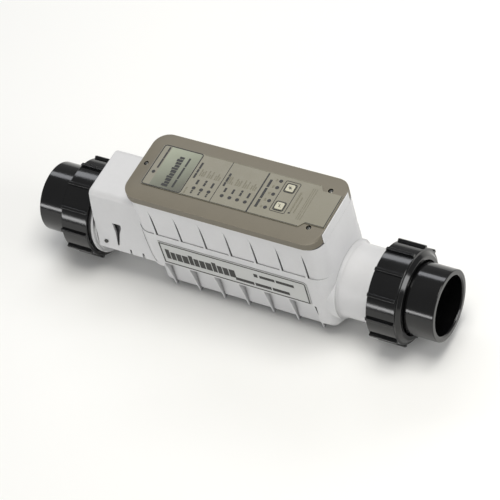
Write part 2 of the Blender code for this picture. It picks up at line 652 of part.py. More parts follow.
def sensor_cover():
    far = BODY_LEFT + CORNER
    middle, length = (COVER_LEFT + far) / 2, far - COVER_LEFT
    place = Matrix.Translation((middle, 0, 0)) @ ACROSS_X
    item = plate("sensor_cover", cover_outline(0), length, place, WHITE)
    inner = Matrix.Translation((middle + COVER_WALL + 0.001, 0, 0)) @ ACROSS_X
    hollow = plate("cover_hollow", cover_outline(COVER_WALL), length + 0.002, inner)
    cut(item, hollow)
    join(item, rod("gland_boss", *gland_axis(0.0315, 0.0385), 0.0115))
    room = TUBE_RADIUS + 2 * GAP
    way_out = (-0.16, -room, AXIS_Z - 0.05), (-0.14, room, AXIS_Z)
    slot_place = Matrix.Translation((0, 0.0020 - COVER_LOW_HALF, 0)) @ ACROSS_Y
    cutters = [
        loft("body_room", body_levels(GAP, low=-0.0200)),
        rod("tube_room", (-0.16, 0, AXIS_Z), (-0.09, 0, AXIS_Z), room),
        box("tube_way_out", *way_out),
        plate("side_slot", SLOT_OUTLINE, 0.02, slot_place),
        rod("gland_hole", *gland_axis(0.02, 0.05), GLAND_HOLE),
    ]
    for x in NOTCH_X:
        low = (x - NOTCH_REACH, -0.0450, AXIS_Z + COVER_LOW - 0.01)
        high = (x + NOTCH_REACH, -0.0380, AXIS_Z + COVER_LOW + NOTCH_HIGH)
        cutters.append(box(f"edge_notch_{x}", low, high))
    for side in (-1, 1):
        ends = [(COVER_SCREW_X, side * y, AXIS_Z + COVER_SCREW_HEIGHT) for y in (0.0340, 0.0450)]
        cutters.append(rod(f"cover_screw_clearance_{side}", *ends, 0.0015, sides=12))
    return cut(item, *cutters)


def cover_screw(name, side):
    """A pan head screw across the cover's lower edge into the tube wall."""
    head = [(0.0416, 0), (0.0416, 0.0015), (0.0410, 0.0022), (0.0399, 0.0022), (0.0399, 0.0011),
            (0.0322, 0.0011), (0.0322, 0)]
    turn = Matrix.Rotation(-side * math.pi / 2, 4, "X")
    place = Matrix.Translation((COVER_SCREW_X, 0, AXIS_Z + COVER_SCREW_HEIGHT)) @ turn
    return turned(name, head, place, STEEL, steps=12)


def cord_gland():
    """Hexagonal dome with a bored neck through the cover's back, and its lock nut inside."""
    turn = Matrix.Rotation(-math.pi / 2, 4, "X")
    place = Matrix.Translation((GLAND_X, 0, AXIS_Z + GLAND_HEIGHT)) @ turn
    bore = 0.0036
    dome = [(0.0489, bore), (0.0489, 0.0058), (0.0470, 0.0082), (0.0430, 0.0090), (0.0390, 0.0090),
            (0.0390, GLAND_NECK), (0.0262, GLAND_NECK), (0.0262, bore)]
    turned("cord_gland", dome, place, BLACK)
    nut = rod("gland_lock_nut", *gland_axis(0.0270, 0.0300), 0.0101, BLACK, sides=6)
    cut(nut, rod("lock_nut_hole", *gland_axis(0.02, 0.04), GLAND_NECK + GAP))


def flow_switch():
    """The plug in its port with a forked foot, its seal, the hinge pin and the paddle."""
    head = [(0.0590, 0), (0.0590, 0.0090), (0.0575, 0.0105), (0.0530, 0.0105), (0.0530, 0.0125),
            (BOSS_TOP + 0.0029, 0.0125), (BOSS_TOP + 0.0029, SWITCH_RADIUS), (0.0280, SWITCH_RADIUS),
            (0.0280, 0)]
    body = turned("flow_switch_body", head, upright(SWITCH_X), BLACK)
    ears = []
    for side in (-1, 1):
        low = (SWITCH_X - 0.0030, side * 0.0072 - 0.0010, AXIS_Z + PIN_HEIGHT - 0.0030)
        high = (SWITCH_X + 0.0030, side * 0.0072 + 0.0010, AXIS_Z + 0.0290)
        ears.append(box(f"switch_ear_{side}", low, high))
    join(body, *ears)
    ends = [(SWITCH_X, y, AXIS_Z + PIN_HEIGHT) for y in (-0.0100, 0.0100)]
    cut(body, rod("pin_hole", *ends, 0.0010 + GAP, sides=16))
    pin_ends = [(SWITCH_X, y, AXIS_Z + PIN_HEIGHT) for y in (-0.0084, 0.0084)]
    rod("paddle_pin", *pin_ends, 0.0010, STEEL, sides=16)
    seal = ring_profile(BOSS_TOP + 0.0026, BOSS_TOP + GAP, 0.0122, SWITCH_RADIUS + GAP)
    turned("flow_switch_seal", seal, upright(SWITCH_X), RUBBER)
    low = (SWITCH_X - 0.0008, -PADDLE_HALF, AXIS_Z + PADDLE_LOW)
    high = (SWITCH_X + 0.0008, PADDLE_HALF, AXIS_Z + PIN_HEIGHT)
    paddle = box("flow_paddle", low, high, PALE)
    barrel_ends = [(SWITCH_X, y, AXIS_Z + PIN_HEIGHT) for y in (-PADDLE_HALF, PADDLE_HALF)]
    join(paddle, rod("paddle_barrel", *barrel_ends, 0.0024, sides=16))
    cut(paddle, rod("barrel_hole", *ends, 0.0010 + GAP, sides=16))


def probes():
    warm = [(0.0490, 0), (0.0490, 0.0040), (BOSS_TOP + GAP, 0.0040), (BOSS_TOP + GAP, 0.0022),
            (0.0120, 0.0022), (0.0110, 0.0012), (0.0110, 0)]
    turned("temperature_probe", warm, upright(TEMPERATURE_X), STEEL, steps=16)
    salt = [(0.0490, 0), (0.0490, 0.0045), (BOSS_TOP + GAP, 0.0045), (BOSS_TOP + GAP, 0.0032),
            (0.0220, 0.0032), (0.0220, 0)]
    probe = turned("salinity_probe", salt, upright(SALINITY_X), CHIP, steps=16)
    pins = []
    for side in (-1, 1):
        ends = column(SALINITY_X, 0.014, 0.024, 0.0016 * side)
        pins.append(rod(f"salt_pin_{side}", *ends, 0.0008, sides=8))
    join(probe, *pins)


def sensor_lead():
    """The lead from the flow switch through the housing wall to its connector on the board."""
    route = [(SWITCH_X, 0.0594), (SWITCH_X, 0.0608), (-0.1220, 0.0622), (-0.1185, 0.0627),
             (-0.1110, 0.0615), (-0.1040, 0.0575), (BODY_LEFT, LEAD_HEIGHT), (-0.0905, 0.0562),
             (-0.0850, 0.0600),
             (-0.0815, 0.0680), (-0.0790, 0.0735), (-0.0745, 0.0747), (-0.0703, 0.0747)]
    curve = bpy.data.curves.new("sensor_lead", "CURVE")
    curve.dimensions = "3D"
    curve.bevel_depth = 0.0018
    curve.bevel_resolution = 2
    curve.use_fill_caps = True
    spline = curve.splines.new("POLY")
    spline.points.add(len(route) - 1)
    for point, (x, height) in zip(spline.points, route):
        point.co = (x, 0, AXIS_Z + height, 1)
    item = bpy.data.objects.new("sensor_lead", curve)
    curve.materials.append(CHIP)
    parts.objects.link(item)


# Electrode stack


def electrode_plates():
    for k in range(PLATE_COUNT):
        y = PLATE_STEP * (k - (PLATE_COUNT - 1) / 2)
        low = (PLATE_LEFT, y - PLATE_THICK / 2, AXIS_Z - PLATE_HALF)
        high = (PLATE_RIGHT, y + PLATE_THICK / 2, AXIS_Z + PLATE_HALF)
        box(f"electrode_plate_{k + 1}", low, high, TITANIUM)


def plate_holder(name, outer_face, inward):
    """A ring with a window and a slot for each plate. The slots stop short of the outer face."""
    far = outer_face + inward * HOLDER_THICK
    item = rod(name, (outer_face, 0, AXIS_Z), (far, 0, AXIS_Z), HOLDER_RADIUS, CHIP)
    xs = sorted((outer_face - inward * 0.001, far + inward * 0.001))
    window_low = (xs[0], -HOLDER_WINDOW_HALF, AXIS_Z - HOLDER_WINDOW)
    window_high = (xs[1], HOLDER_WINDOW_HALF, AXIS_Z + HOLDER_WINDOW)
    cutters = [box(f"{name}_window", window_low, window_high)]
    slot_xs = sorted((outer_face + inward * 0.0018, far + inward * 0.001))
    reach_y, reach_z = PLATE_THICK / 2 + GAP, PLATE_HALF + GAP
    for k in range(PLATE_COUNT):
        y = PLATE_STEP * (k - (PLATE_COUNT - 1) / 2)
        low = (slot_xs[0], y - reach_y, AXIS_Z - reach_z)
        high = (slot_xs[1], y + reach_y, AXIS_Z + reach_z)
        cutters.append(box(f"{name}_slot_{k}", low, high))
    return cut(item, *cutters)


def terminals():
    """For each pole: the bus bar over the plates with its post, the post's seal and its nut."""
    for name, x in POSTS.items():
        low = (x - 0.0040, -0.0185, AXIS_Z + PLATE_HALF + GAP)
        high = (x + 0.0040, 0.0185, AXIS_Z + PLATE_HALF + 0.0018)
        post_ends = column(x, PLATE_HALF + 0.0010, 0.0520)
        bar = box(f"{name}_bus", low, high, TITANIUM)
        join(bar, rod(f"{name}_post", *post_ends, POST_RADIUS, sides=16))
        seal = ring_profile(CAVITY_FLOOR + 0.0022, CAVITY_FLOOR + GAP, 0.0058, POST_RADIUS + GAP)
        turned(f"{name}_post_seal", seal, upright(x), RUBBER, steps=16)
        nut_ends = column(x, CAVITY_FLOOR + 0.0025, CAVITY_FLOOR + 0.0070)
        nut = rod(f"{name}_post_nut", *nut_ends, 0.0056, STEEL, sides=6)
        hole_ends = column(x, CAVITY_FLOOR, CAVITY_FLOOR + 0.01)
        cut(nut, rod(f"{name}_nut_hole", *hole_ends, POST_RADIUS + GAP, sides=16))


# Unions


def tailpiece(end, turn):
    """A flanged pipe socket. The pipe stops against the shoulder inside it."""
    face = NECK_END + GAP
    back = face + FLANGE_THICK
    stop = HALF_LENGTH - SOCKET_DEPTH
    profile = [
        (HALF_LENGTH, SOCKET_RADIUS + 0.0012), (HALF_LENGTH, TAIL_RADIUS - 0.0008),
        (HALF_LENGTH - 0.0008, TAIL_RADIUS), (back, TAIL_RADIUS), (back, TAIL_FLANGE),
        (face, TAIL_FLANGE), (face, PIPE_STOP_BORE), (stop, PIPE_STOP_BORE),
        (stop, SOCKET_RADIUS), (HALF_LENGTH - 0.0012, SOCKET_RADIUS),
    ]
    return turned(f"{end}_tailpiece", profile, turn @ ALONG_X, BLACK)


def union_nut(end, turn):
    """The ribbed nut. Its inside thread meshes half a pitch from the housing's ridge."""
    shoulder = NUT_END - 0.0040
    lip = NUT_END - NUT_LIP
    profile = [
        (NUT_END, NUT_LIP_BORE), (NUT_END, 0.0425), (shoulder, 0.0462),
        (shoulder, NUT_RADIUS - 0.0008), (shoulder - 0.0010, NUT_RADIUS),
        (NUT_START + 0.0010, NUT_RADIUS), (NUT_START, NUT_RADIUS - 0.0010), (NUT_START, NUT_BORE),
        (lip, NUT_BORE), (lip, NUT_LIP_BORE),
    ]
    item = turned(f"{end}_union_nut", profile, turn @ ALONG_X, BLACK)
    ribs = []
    for k in range(RIB_COUNT):
        angle = RIB_LEAN + math.tau * k / RIB_COUNT
        rib = box(f"{end}_rib_{k}", (NUT_START + 0.0004, -RIB_WIDTH / 2, 0.0460),
                  (shoulder - 0.0004, RIB_WIDTH / 2, RIB_RADIUS))
        lean = Matrix.Translation((0, 0, AXIS_Z)) @ Matrix.Rotation(angle, 4, "X")
        rib.matrix_world = turn @ lean
        ribs.append(rib)
    middle = THREAD_MIDDLE + PITCH / 2
    ribs.append(thread(f"{end}_female_thread", 0.0443, 0.0418, middle, turn @ ALONG_X))
    return join(item, *ribs)


def union_seal(end, turn):
    """A round rubber ring in the groove of the housing's end face."""
    reach = SEAL_THICK / 2
    centre = NECK_END - reach
    angles = [math.radians(a) for a in range(0, 360, 45)]
    profile = [(centre + reach * math.cos(a), SEAL_RADIUS + reach * math.sin(a)) for a in angles]
    return turned(f"{end}_union_seal", profile, turn @ ALONG_X, RUBBER)


def build():
    clear_scene()
    cell_housing()
    top_cover()
    lid_gasket()
    control_overlay()
    for name, y in zip(("less", "more"), KEY_Y):
        key(f"{name}_key", y)
        key_switch(f"{name}_key_switch", y)
    indicator_lights()
    electronics()
    for name, (x, y) in LID_SCREWS.items():
        lid_screw(name, x, y)
    nameplate()
    sensor_cover()
    cover_screw("cover_screw_front", -1)
    cover_screw("cover_screw_back", 1)
    cord_gland()
    flow_switch()
    probes()
    sensor_lead()
    electrode_plates()
    plate_holder("inlet_plate_holder", PLATE_LEFT - 0.0021, 1)
    plate_holder("outlet_plate_holder", PLATE_RIGHT + 0.0021, -1)
    terminals()
    for end, turn in ENDS.items():
        tailpiece(end, turn)
        union_nut(end, turn)
        union_seal(end, turn)


build()
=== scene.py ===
"""Finished surfaces for a salt chlorine generator cell: fine meshes and their finishes.

Metres, +Z up. +X runs along the flow axis, -Y is the nameplate side, and z = 0 is the surface
that the grip ribs of the two union nuts stand on. Heights in the sizes below are above the
flow axis.
"""

import contextlib
import json
import math

import bmesh
import bpy
from mathutils import Matrix, Vector

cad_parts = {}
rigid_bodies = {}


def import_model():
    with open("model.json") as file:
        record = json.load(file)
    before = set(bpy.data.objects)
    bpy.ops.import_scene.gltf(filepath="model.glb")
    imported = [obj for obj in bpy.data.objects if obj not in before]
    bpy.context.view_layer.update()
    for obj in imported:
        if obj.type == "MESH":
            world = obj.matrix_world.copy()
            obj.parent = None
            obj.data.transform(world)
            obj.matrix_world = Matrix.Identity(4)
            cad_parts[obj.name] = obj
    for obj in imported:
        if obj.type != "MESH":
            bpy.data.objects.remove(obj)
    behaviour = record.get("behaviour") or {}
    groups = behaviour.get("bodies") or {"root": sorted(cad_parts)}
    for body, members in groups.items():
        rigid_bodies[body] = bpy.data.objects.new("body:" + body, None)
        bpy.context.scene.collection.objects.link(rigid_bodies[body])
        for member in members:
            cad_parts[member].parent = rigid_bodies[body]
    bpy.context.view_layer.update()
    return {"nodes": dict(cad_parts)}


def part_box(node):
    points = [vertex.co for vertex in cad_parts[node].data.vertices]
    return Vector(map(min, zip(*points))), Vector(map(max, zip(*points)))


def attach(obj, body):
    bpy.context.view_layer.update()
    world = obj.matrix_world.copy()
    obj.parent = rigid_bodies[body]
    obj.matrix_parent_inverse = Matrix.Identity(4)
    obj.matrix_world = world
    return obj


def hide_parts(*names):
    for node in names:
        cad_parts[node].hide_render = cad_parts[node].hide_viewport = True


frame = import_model()

bl_info = {
    "name": "Salt chlorine generator cell",
    "version": (1, 0, 0),
    "blender": (4, 5, 0),
    "location": "3D View > Sidebar > Salt cell",
    "description": "Builds the finished surfaces of a salt chlorine generator cell",
    "category": "Object",
}

# The flow axis and the ends, read from the frame
TAIL_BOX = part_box("right_tailpiece")
AXIS_Z = (TAIL_BOX[0].z + TAIL_BOX[1].z) / 2
HALF_LENGTH = TAIL_BOX[1].x
NECK_END = TAIL_BOX[0].x - 0.0003
FIT_GAP = 0.0003

# Housing
BODY_LEFT, BODY_RIGHT, BODY_HALF, CORNER = -0.0965, 0.1222, 0.0410, 0.0165
BAND_LOW, LEDGE, POCKET_TOP, BODY_TOP, POCKET_HALF = -0.0040, 0.0419, 0.0786, 0.0880, 0.0400
GROOVE_HALF, GROOVE_WIDTH = 0.0372, 0.0015
CHAMBER_LEFT, CHAMBER_RIGHT, CHAMBER_HALF, CHAMBER_LOW = -0.0890, 0.1130, 0.0325, -0.0445
CHAMBER_CORNER, CHAMBER_ROUND = 0.0080, 0.0040
LIP_LEFT, LIP_TOP, LIP_HALF, LIP_TAPER = 0.1212, 0.1001, 0.0244, 0.0036
FIRST_FIN, FIN_STEP, FIN_COUNT = -0.07235, 0.0286, 7
LOWER_FIN_SHIFT, LOWER_FIN_THICK, FIN_TIP_HALF, FIN_TIP_LOW = -0.0026, 0.0018, 0.0340, -0.0470
CAVITY_LEFT, CAVITY_RIGHT, CAVITY_HALF, CAVITY_FLOOR = -0.0905, 0.1165, 0.0335, 0.0410
NECK_RADIUS, THREAD_ROOT, BORE, TUBE_RADIUS = 0.0375, 0.0405, 0.0300, 0.0355
SEAL_RADIUS = 0.0352

# Lid and keypad
LID_LEFT, LID_RIGHT, LID_HALF, LID_CORNER = -0.0980, 0.1209, 0.0429, 0.0168
LID_LOW, LID_EDGE, LID_TOP, LID_SKIN = 0.0898, 0.0978, 0.1009, 0.0030
PANEL_LEFT, PANEL_HALF, PANEL_CORNER = -0.0825, 0.0270, 0.0050
TONGUE_START, TONGUE_HALF = 0.0945, 0.0205
FILM_THICK = 0.0006
FILM_TOP = LID_TOP + FIT_GAP + FILM_THICK
PRINT_GAP, PRINT_THICK, FIELD_TOP, DOT_TOP = 0.00003, 0.00014, 0.00004, 0.00012
INK_LOW, INK_TOP = FILM_TOP + PRINT_GAP, FILM_TOP + PRINT_THICK
KEY_LOW, FLANGE_LOW, FLANGE_TOP, KEY_RISE, KEY_DISH = 0.0954, 0.0950, 0.0966, 0.0018, 0.00018
MARK_REACH, MARK_HALF, MARK_GAP = 0.0018, 0.00035, 0.00002
KEY_X, KEY_SIZE = 0.0665, 0.0085
KEY_Y = {"less_key": -0.0095, "more_key": 0.0135}
DOT_ROW_Y, DOT_COLUMN_X = -0.0155, 0.0535
FIRST_DOTS = [-0.0260 + 0.0084 * k for k in range(3)]
NEXT_DOTS = [0.0056 + 0.0086 * k for k in range(4)]
COLUMN_DOTS = [-0.0151 + 0.0085 * k for k in range(5)]
INDICATORS = [(x, DOT_ROW_Y) for x in FIRST_DOTS + NEXT_DOTS]
INDICATORS += [(DOT_COLUMN_X, y) for y in COLUMN_DOTS]
SCREW_HOLE, BOARD_LOW, BOARD_X, BOARD_Y = 0.0014, 0.0787, (-0.0780, 0.0600), 0.0235
LID_SCREWS = {
    "lid_screw_left": (-0.0900, 0.0),
    "lid_screw_front": (0.1050, -0.0237),
    "lid_screw_back": (0.1050, 0.0237),
}

# Sensor cover
COVER_LEFT, COVER_WALL = -0.1522, 0.0025
COVER_TOP, COVER_TOP_HALF, COVER_LOW, COVER_LOW_HALF = 0.0675, 0.0300, -0.0060, 0.0410
GLAND_X, GLAND_HEIGHT = -0.1300, 0.0340
COVER_SCREW_X, COVER_SCREW_HEIGHT = -0.1425, 0.0035
NOTCHES, NOTCH_HALF, NOTCH_RISE = (-0.1140, -0.0990), 0.0012, 0.0060

# Unions
NUT_START, NUT_END, NUT_RADIUS, NUT_BORE = 0.1600, 0.1945, 0.0484, 0.0440
NUT_LIP, NUT_LIP_BORE = 0.0093, 0.0380
RIB_RADIUS, RIB_COUNT = 0.0512, 12
PITCH, THREAD_TURNS, THREAD_MIDDLE = 0.0050, 3, 0.1694
TAIL_RADIUS, TAIL_FLANGE, FLANGE_THICK = 0.0365, 0.0409, 0.0062
SOCKET_RADIUS, SOCKET_DEPTH, PIPE_STOP_BORE = 0.03025, 0.0380, 0.0262

# Stage
FLOOR_COLOUR, WORLD_STRENGTH = "#F4F4F2", 0.30


def linear(code):
    """An sRGB hex colour as linear red, green and blue."""
    shares = [int(code[k:k + 2], 16) / 255 for k in (1, 3, 5)]
    return tuple(s / 12.92 if s <= 0.04045 else ((s + 0.055) / 1.055) ** 2.4 for s in shares)


class SaltCellSizes(bpy.types.PropertyGroup):
    round_steps: bpy.props.IntProperty(
        name="Round steps", description="Sides of a turned piece", default=96, min=24)
    fin_thickness: bpy.props.FloatProperty(
        name="Fin thickness", description="Thickness of the housing's fins", default=0.0026,
        unit="LENGTH", subtype="DISTANCE")
    edge_radius: bpy.props.FloatProperty(
        name="Moulded edge", description="Radius along the housing's outer edges", default=0.0009,
        unit="LENGTH", subtype="DISTANCE")
    cover_edge: bpy.props.FloatProperty(
        name="Sensor cover edge", description="Radius along the sensor cover's top", default=0.0055,
        unit="LENGTH", subtype="DISTANCE")
    rib_width: bpy.props.FloatProperty(
        name="Grip rib width", description="Width of the ribs on a union nut", default=0.0034,
        unit="LENGTH", subtype="DISTANCE")
    dot_radius: bpy.props.FloatProperty(
        name="Indicator radius", description="Radius of the indicator windows", default=0.0020,
        unit="LENGTH", subtype="DISTANCE")


class SaltCellColours(bpy.types.PropertyGroup):
    housing: bpy.props.FloatVectorProperty(
        name="Housing", description="White moulded housing", default=linear("#CFCFD0"),
        subtype="COLOR")
    lid: bpy.props.FloatVectorProperty(
        name="Lid", description="Taupe moulded lid", default=linear("#6F695B"), subtype="COLOR")
    film: bpy.props.FloatVectorProperty(
        name="Keypad film", description="Printed keypad film", default=linear("#7E7A6A"),
        subtype="COLOR")
    key: bpy.props.FloatVectorProperty(
        name="Keys", description="Pale key caps", default=linear("#B9B6A2"), subtype="COLOR")
    label: bpy.props.FloatVectorProperty(
        name="Nameplate", description="Nameplate film", default=linear("#BFC0BE"), subtype="COLOR")
    union: bpy.props.FloatVectorProperty(
        name="Unions", description="Black union mouldings", default=linear("#0C0C0D"),
        subtype="COLOR")
    ink: bpy.props.FloatVectorProperty(
        name="Ink", description="Dark printing", default=linear("#141411"), subtype="COLOR")


class SaltCellView(bpy.types.PropertyGroup):
    azimuth: bpy.props.FloatProperty(
        name="Azimuth", description="Turn of the camera round the cell, from the nameplate side",
        default=math.radians(42.0), subtype="ANGLE", unit="ROTATION")
    elevation: bpy.props.FloatProperty(
        name="Elevation", description="Angle of the camera above the floor",
        default=math.radians(49.0), subtype="ANGLE", unit="ROTATION")
    roll: bpy.props.FloatProperty(
        name="Roll", description="Tilt of the camera about its own axis",
        default=math.radians(18.3), subtype="ANGLE", unit="ROTATION")
    distance: bpy.props.FloatProperty(
        name="Distance", description="From the camera to the middle of the cell", default=2.2227,
        unit="LENGTH", subtype="DISTANCE")
    lens: bpy.props.FloatProperty(
        name="Lens", description="Focal length in millimetres", default=160.0)


def sizes():
    return bpy.context.scene.salt_cell_sizes


def colours():
    return bpy.context.scene.salt_cell_colours


# Modelling, each step as it is done by hand


def clear_selection():
    if bpy.context.mode != "OBJECT":
        bpy.ops.object.mode_set(mode="OBJECT")
    bpy.ops.object.select_all(action="DESELECT")


def only(item):
    clear_selection()
    item.select_set(True)
    bpy.context.view_layer.objects.active = item
    return item


def placed(name):
    """Names the piece just added and puts its place, turn and scale into its mesh."""
    item = bpy.context.active_object
    item.name = item.data.name = name
    bpy.ops.object.transform_apply(location=True, rotation=True, scale=True)
    return item


def height(above_axis):
    return AXIS_Z + above_axis


def block(name, low, high):
    """A box between two corners whose third number is a height above the flow axis."""
    clear_selection()
    low = Vector((low[0], low[1], height(low[2])))
    high = Vector((high[0], high[1], height(high[2])))
    bpy.ops.mesh.primitive_cube_add(size=1, location=(low + high) / 2)
    bpy.context.active_object.scale = high - low
    return placed(name)


def rod(name, start, end, radius, sides=None):
    """A round bar between two points whose third number is a height above the flow axis."""
    clear_selection()
    start = Vector((start[0], start[1], height(start[2])))
    end = Vector((end[0], end[1], height(end[2])))
    turn = (end - start).to_track_quat("Z", "Y").to_euler()
    bpy.ops.mesh.primitive_cylinder_add(
        vertices=sides or sizes().round_steps, radius=radius, depth=(end - start).length,
        location=(start + end) / 2, rotation=turn)
    return placed(name)


@contextlib.contextmanager
def editing(item, kind="VERT"):
    only(item)
    bpy.ops.object.mode_set(mode="EDIT")
    bpy.ops.mesh.select_mode(type=kind)
    bpy.ops.mesh.select_all(action="DESELECT")
    yield bmesh.from_edit_mesh(item.data)
    bpy.ops.object.mode_set(mode="OBJECT")


def pick(item, wanted, kind="EDGE"):
    """In edit mode, selects just the edges, faces or points whose every point passes the test."""
    bpy.ops.mesh.select_all(action="DESELECT")
    mesh = bmesh.from_edit_mesh(item.data)
    if kind == "VERT":
        for point in mesh.verts:
            point.select_set(wanted(point.co))
    elif kind == "EDGE":
        for edge in mesh.edges:
            edge.select_set(all(wanted(point.co) for point in edge.verts))
    else:
        for face in mesh.faces:
            face.select_set(all(wanted(point.co) for point in face.verts))
    bmesh.update_edit_mesh(item.data)


def near(value, target, slack=0.00002):
    return abs(value - target) < slack


def round_edges(item, width, segments, wanted):
    """Rounds the edges whose two ends pass the test together."""
    with editing(item, "EDGE") as mesh:
        for edge in mesh.edges:
            edge.select_set(wanted(*(point.co for point in edge.verts)))
        bmesh.update_edit_mesh(item.data)
        bpy.ops.mesh.bevel(offset=width, segments=segments, affect="EDGES")
    return item


def round_uprights(item, radius, segments=12, wanted=lambda point: True):
    """Rounds the upright edges of a block."""
    return round_edges(item, radius, segments, lambda a, b: (
        near(a.x, b.x) and near(a.y, b.y) and not near(a.z, b.z) and wanted(a)))


def soften(item, width, segments=3, wanted=lambda point: True):
    """Rounds the edges whose ends both pass the test."""
    with editing(item, "EDGE"):
        pick(item, wanted)
        bpy.ops.mesh.bevel(offset=width, segments=segments, affect="EDGES", clamp_overlap=True)
    return item


def narrow(item, share, wanted):
    """Draws the points that pass the test in towards the middle plane of the cell."""
    with editing(item, "VERT"):
        pick(item, wanted, "VERT")
        bpy.ops.transform.resize(value=(1, share, 1), center_override=(0, 0, 0))
    return item


def bevel_edges(item, width, segments=2, angle=40):
    """Rounds every edge sharper than the angle."""
    only(item)
    bpy.ops.object.modifier_add(type="BEVEL")
    modifier = item.modifiers[-1]
    modifier.width = width
    modifier.segments = segments
    modifier.limit_method = "ANGLE"
    modifier.angle_limit = math.radians(angle)
    modifier.use_clamp_overlap = True
    bpy.ops.object.modifier_apply(modifier=modifier.name)
    return item


def eased(profile, reach, steps=3, closed=True):
    """The profile with each corner turned into a short curve that starts `reach` before it."""
    points = [Vector(point) for point in profile]
    made = []
    for k, corner in enumerate(points):
        if not closed and k in (0, len(points) - 1):
            made.append(corner)
            continue
        before, after = points[k - 1] - corner, points[(k + 1) % len(points)] - corner
        cut = min(reach, before.length * 0.45, after.length * 0.45)
        first, last = corner + before.normalized() * cut, corner + after.normalized() * cut
        for step in range(steps + 1):
            t = step / steps
            made.append(first * (1 - t) ** 2 + corner * 2 * t * (1 - t) + last * t ** 2)
    return made


def turned(name, profile, axis, outward, origin=(0, 0, 0), closed=True):
    """Spins a profile of (distance along the axis, radius) about an axis through a point."""
    axis, outward = Vector(axis), Vector(outward)
    middle = Vector((origin[0], origin[1], height(origin[2])))
    points = [middle + axis * point[0] + outward * point[1] for point in profile]
    clear_selection()
    bpy.ops.mesh.primitive_plane_add(size=0.001, location=points[0])
    item = placed(name)
    with editing(item) as mesh:
        bpy.ops.mesh.select_all(action="SELECT")
        bpy.ops.mesh.merge(type="CENTER")
        for here, there in zip(points, points[1:]):
            bpy.ops.mesh.extrude_vertices_move(TRANSFORM_OT_translate={"value": there - here})
        if closed:
            mesh = bmesh.from_edit_mesh(item.data)
            mesh.verts.ensure_lookup_table()
            for point in mesh.verts:
                point.select_set(len(point.link_edges) < 2)
            bmesh.update_edit_mesh(item.data)
            bpy.ops.mesh.edge_face_add()
        bpy.ops.mesh.select_all(action="SELECT")
        bpy.ops.mesh.spin(steps=sizes().round_steps, angle=math.tau, center=middle, axis=axis)
        bpy.ops.mesh.select_all(action="SELECT")
        bpy.ops.mesh.remove_doubles(threshold=0.000002)
        bpy.ops.mesh.normals_make_consistent(inside=False)
    return item


def along_flow(name, profile, side=1, closed=True):
    """A shape turned about the flow axis, at the outlet end, or at the inlet end with side -1."""
    return turned(name, profile, (side, 0, 0), (0, 0, 1), closed=closed)


def helix(name, root, crest, middle, side):
    """A helical ridge round the flow axis with closed ends."""
    broad, narrow = 0.0011, 0.0006
    start = middle - PITCH * THREAD_TURNS / 2
    clear_selection()
    bpy.ops.mesh.primitive_plane_add(size=1)
    item = bpy.context.active_object
    item.name = name
    ridge = [(-broad, root), (-narrow, crest), (narrow, crest), (broad, root)]
    for point, (along, radius) in zip(item.data.polygons[0].vertices, ridge):
        item.data.vertices[point].co = (start + along, 0, radius)
    with editing(item, "FACE"):
        bpy.ops.mesh.select_all(action="SELECT")
        bpy.ops.mesh.delete(type="ONLY_FACE")
    only(item)
    bpy.ops.object.modifier_add(type="SCREW")
    screw = item.modifiers[-1]
    screw.axis = "X"
    screw.steps = screw.render_steps = sizes().round_steps
    screw.screw_offset = PITCH
    screw.iterations = THREAD_TURNS
    screw.use_merge_vertices = False
    bpy.ops.object.modifier_apply(modifier=screw.name)
    item.location = (0, 0, AXIS_Z)
    if side < 0:
        item.rotation_euler = (0, 0, math.pi)
    bpy.ops.object.transform_apply(location=True, rotation=True, scale=True)
    with editing(item):
        bpy.ops.mesh.select_all(action="SELECT")
        bpy.ops.mesh.remove_doubles(threshold=0.000001)
        bpy.ops.mesh.select_all(action="SELECT")
        bpy.ops.mesh.fill_holes(sides=0)
        bpy.ops.mesh.select_all(action="SELECT")
        bpy.ops.mesh.normals_make_consistent(inside=False)
    return item


def combine(item, operation, others):
    """Joins pieces to an item or cuts them from it, in one Boolean, and removes them."""
    group = bpy.data.collections.new("shapes_being_combined")
    bpy.context.scene.collection.children.link(group)
    for other in others:
        for holder in list(other.users_collection):
            holder.objects.unlink(other)
        group.objects.link(other)
    only(item)
    bpy.ops.object.modifier_add(type="BOOLEAN")
    modifier = item.modifiers[-1]
    modifier.operation = operation
    modifier.solver = "EXACT"
    modifier.operand_type = "COLLECTION"
    modifier.collection = group
    bpy.ops.object.modifier_apply(modifier=modifier.name)
    for other in list(group.objects):
        bpy.data.objects.remove(other)
    bpy.data.collections.remove(group)
    return item


def unite(item, *others):
    return combine(item, "UNION", others)


def carve(item, *others):
    return combine(item, "DIFFERENCE", others)


def gather(name, pieces):
    """One object from several loose pieces."""
    only(pieces[0])
    for piece in pieces:
        piece.select_set(True)
    bpy.ops.object.join()
    item = bpy.context.active_object
    item.name = item.data.name = name
    return item


def finished(item, finish, body="cell", replaces=(), angle=32):
    """Smooth shading, a finish, and the body that the piece moves with."""
    only(item)
    bpy.ops.object.shade_smooth_by_angle(angle=math.radians(angle))
    bpy.ops.object.modifier_add(type="WEIGHTED_NORMAL")
    item.modifiers[-1].keep_sharp = True
    bpy.ops.object.modifier_apply(modifier=item.modifiers[-1].name)
    item.data.materials.clear()
    item.data.materials.append(finish)
    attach(item, body)
    if replaces:
        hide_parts(*replaces)
    return item


# Finishes


def per_mm(size):
    """Noise scale whose features are about `size` millimetres across."""
    return 1000 / size


def node(tree, kind, settings=None, **inputs):
    """Adds a node, sets its settings and feeds its sockets with values or other nodes' outputs."""
    made = tree.nodes.new(kind)
    for name, value in (settings or {}).items():
        setattr(made, name, value)
    for name, value in inputs.items():
        key = int(name[1:]) if name[0] == "_" else name.replace("_", " ")
        socket = made.inputs[key]
        if isinstance(value, bpy.types.NodeSocket):
            tree.links.new(value, socket)
        else:
            socket.default_value = value
    return made


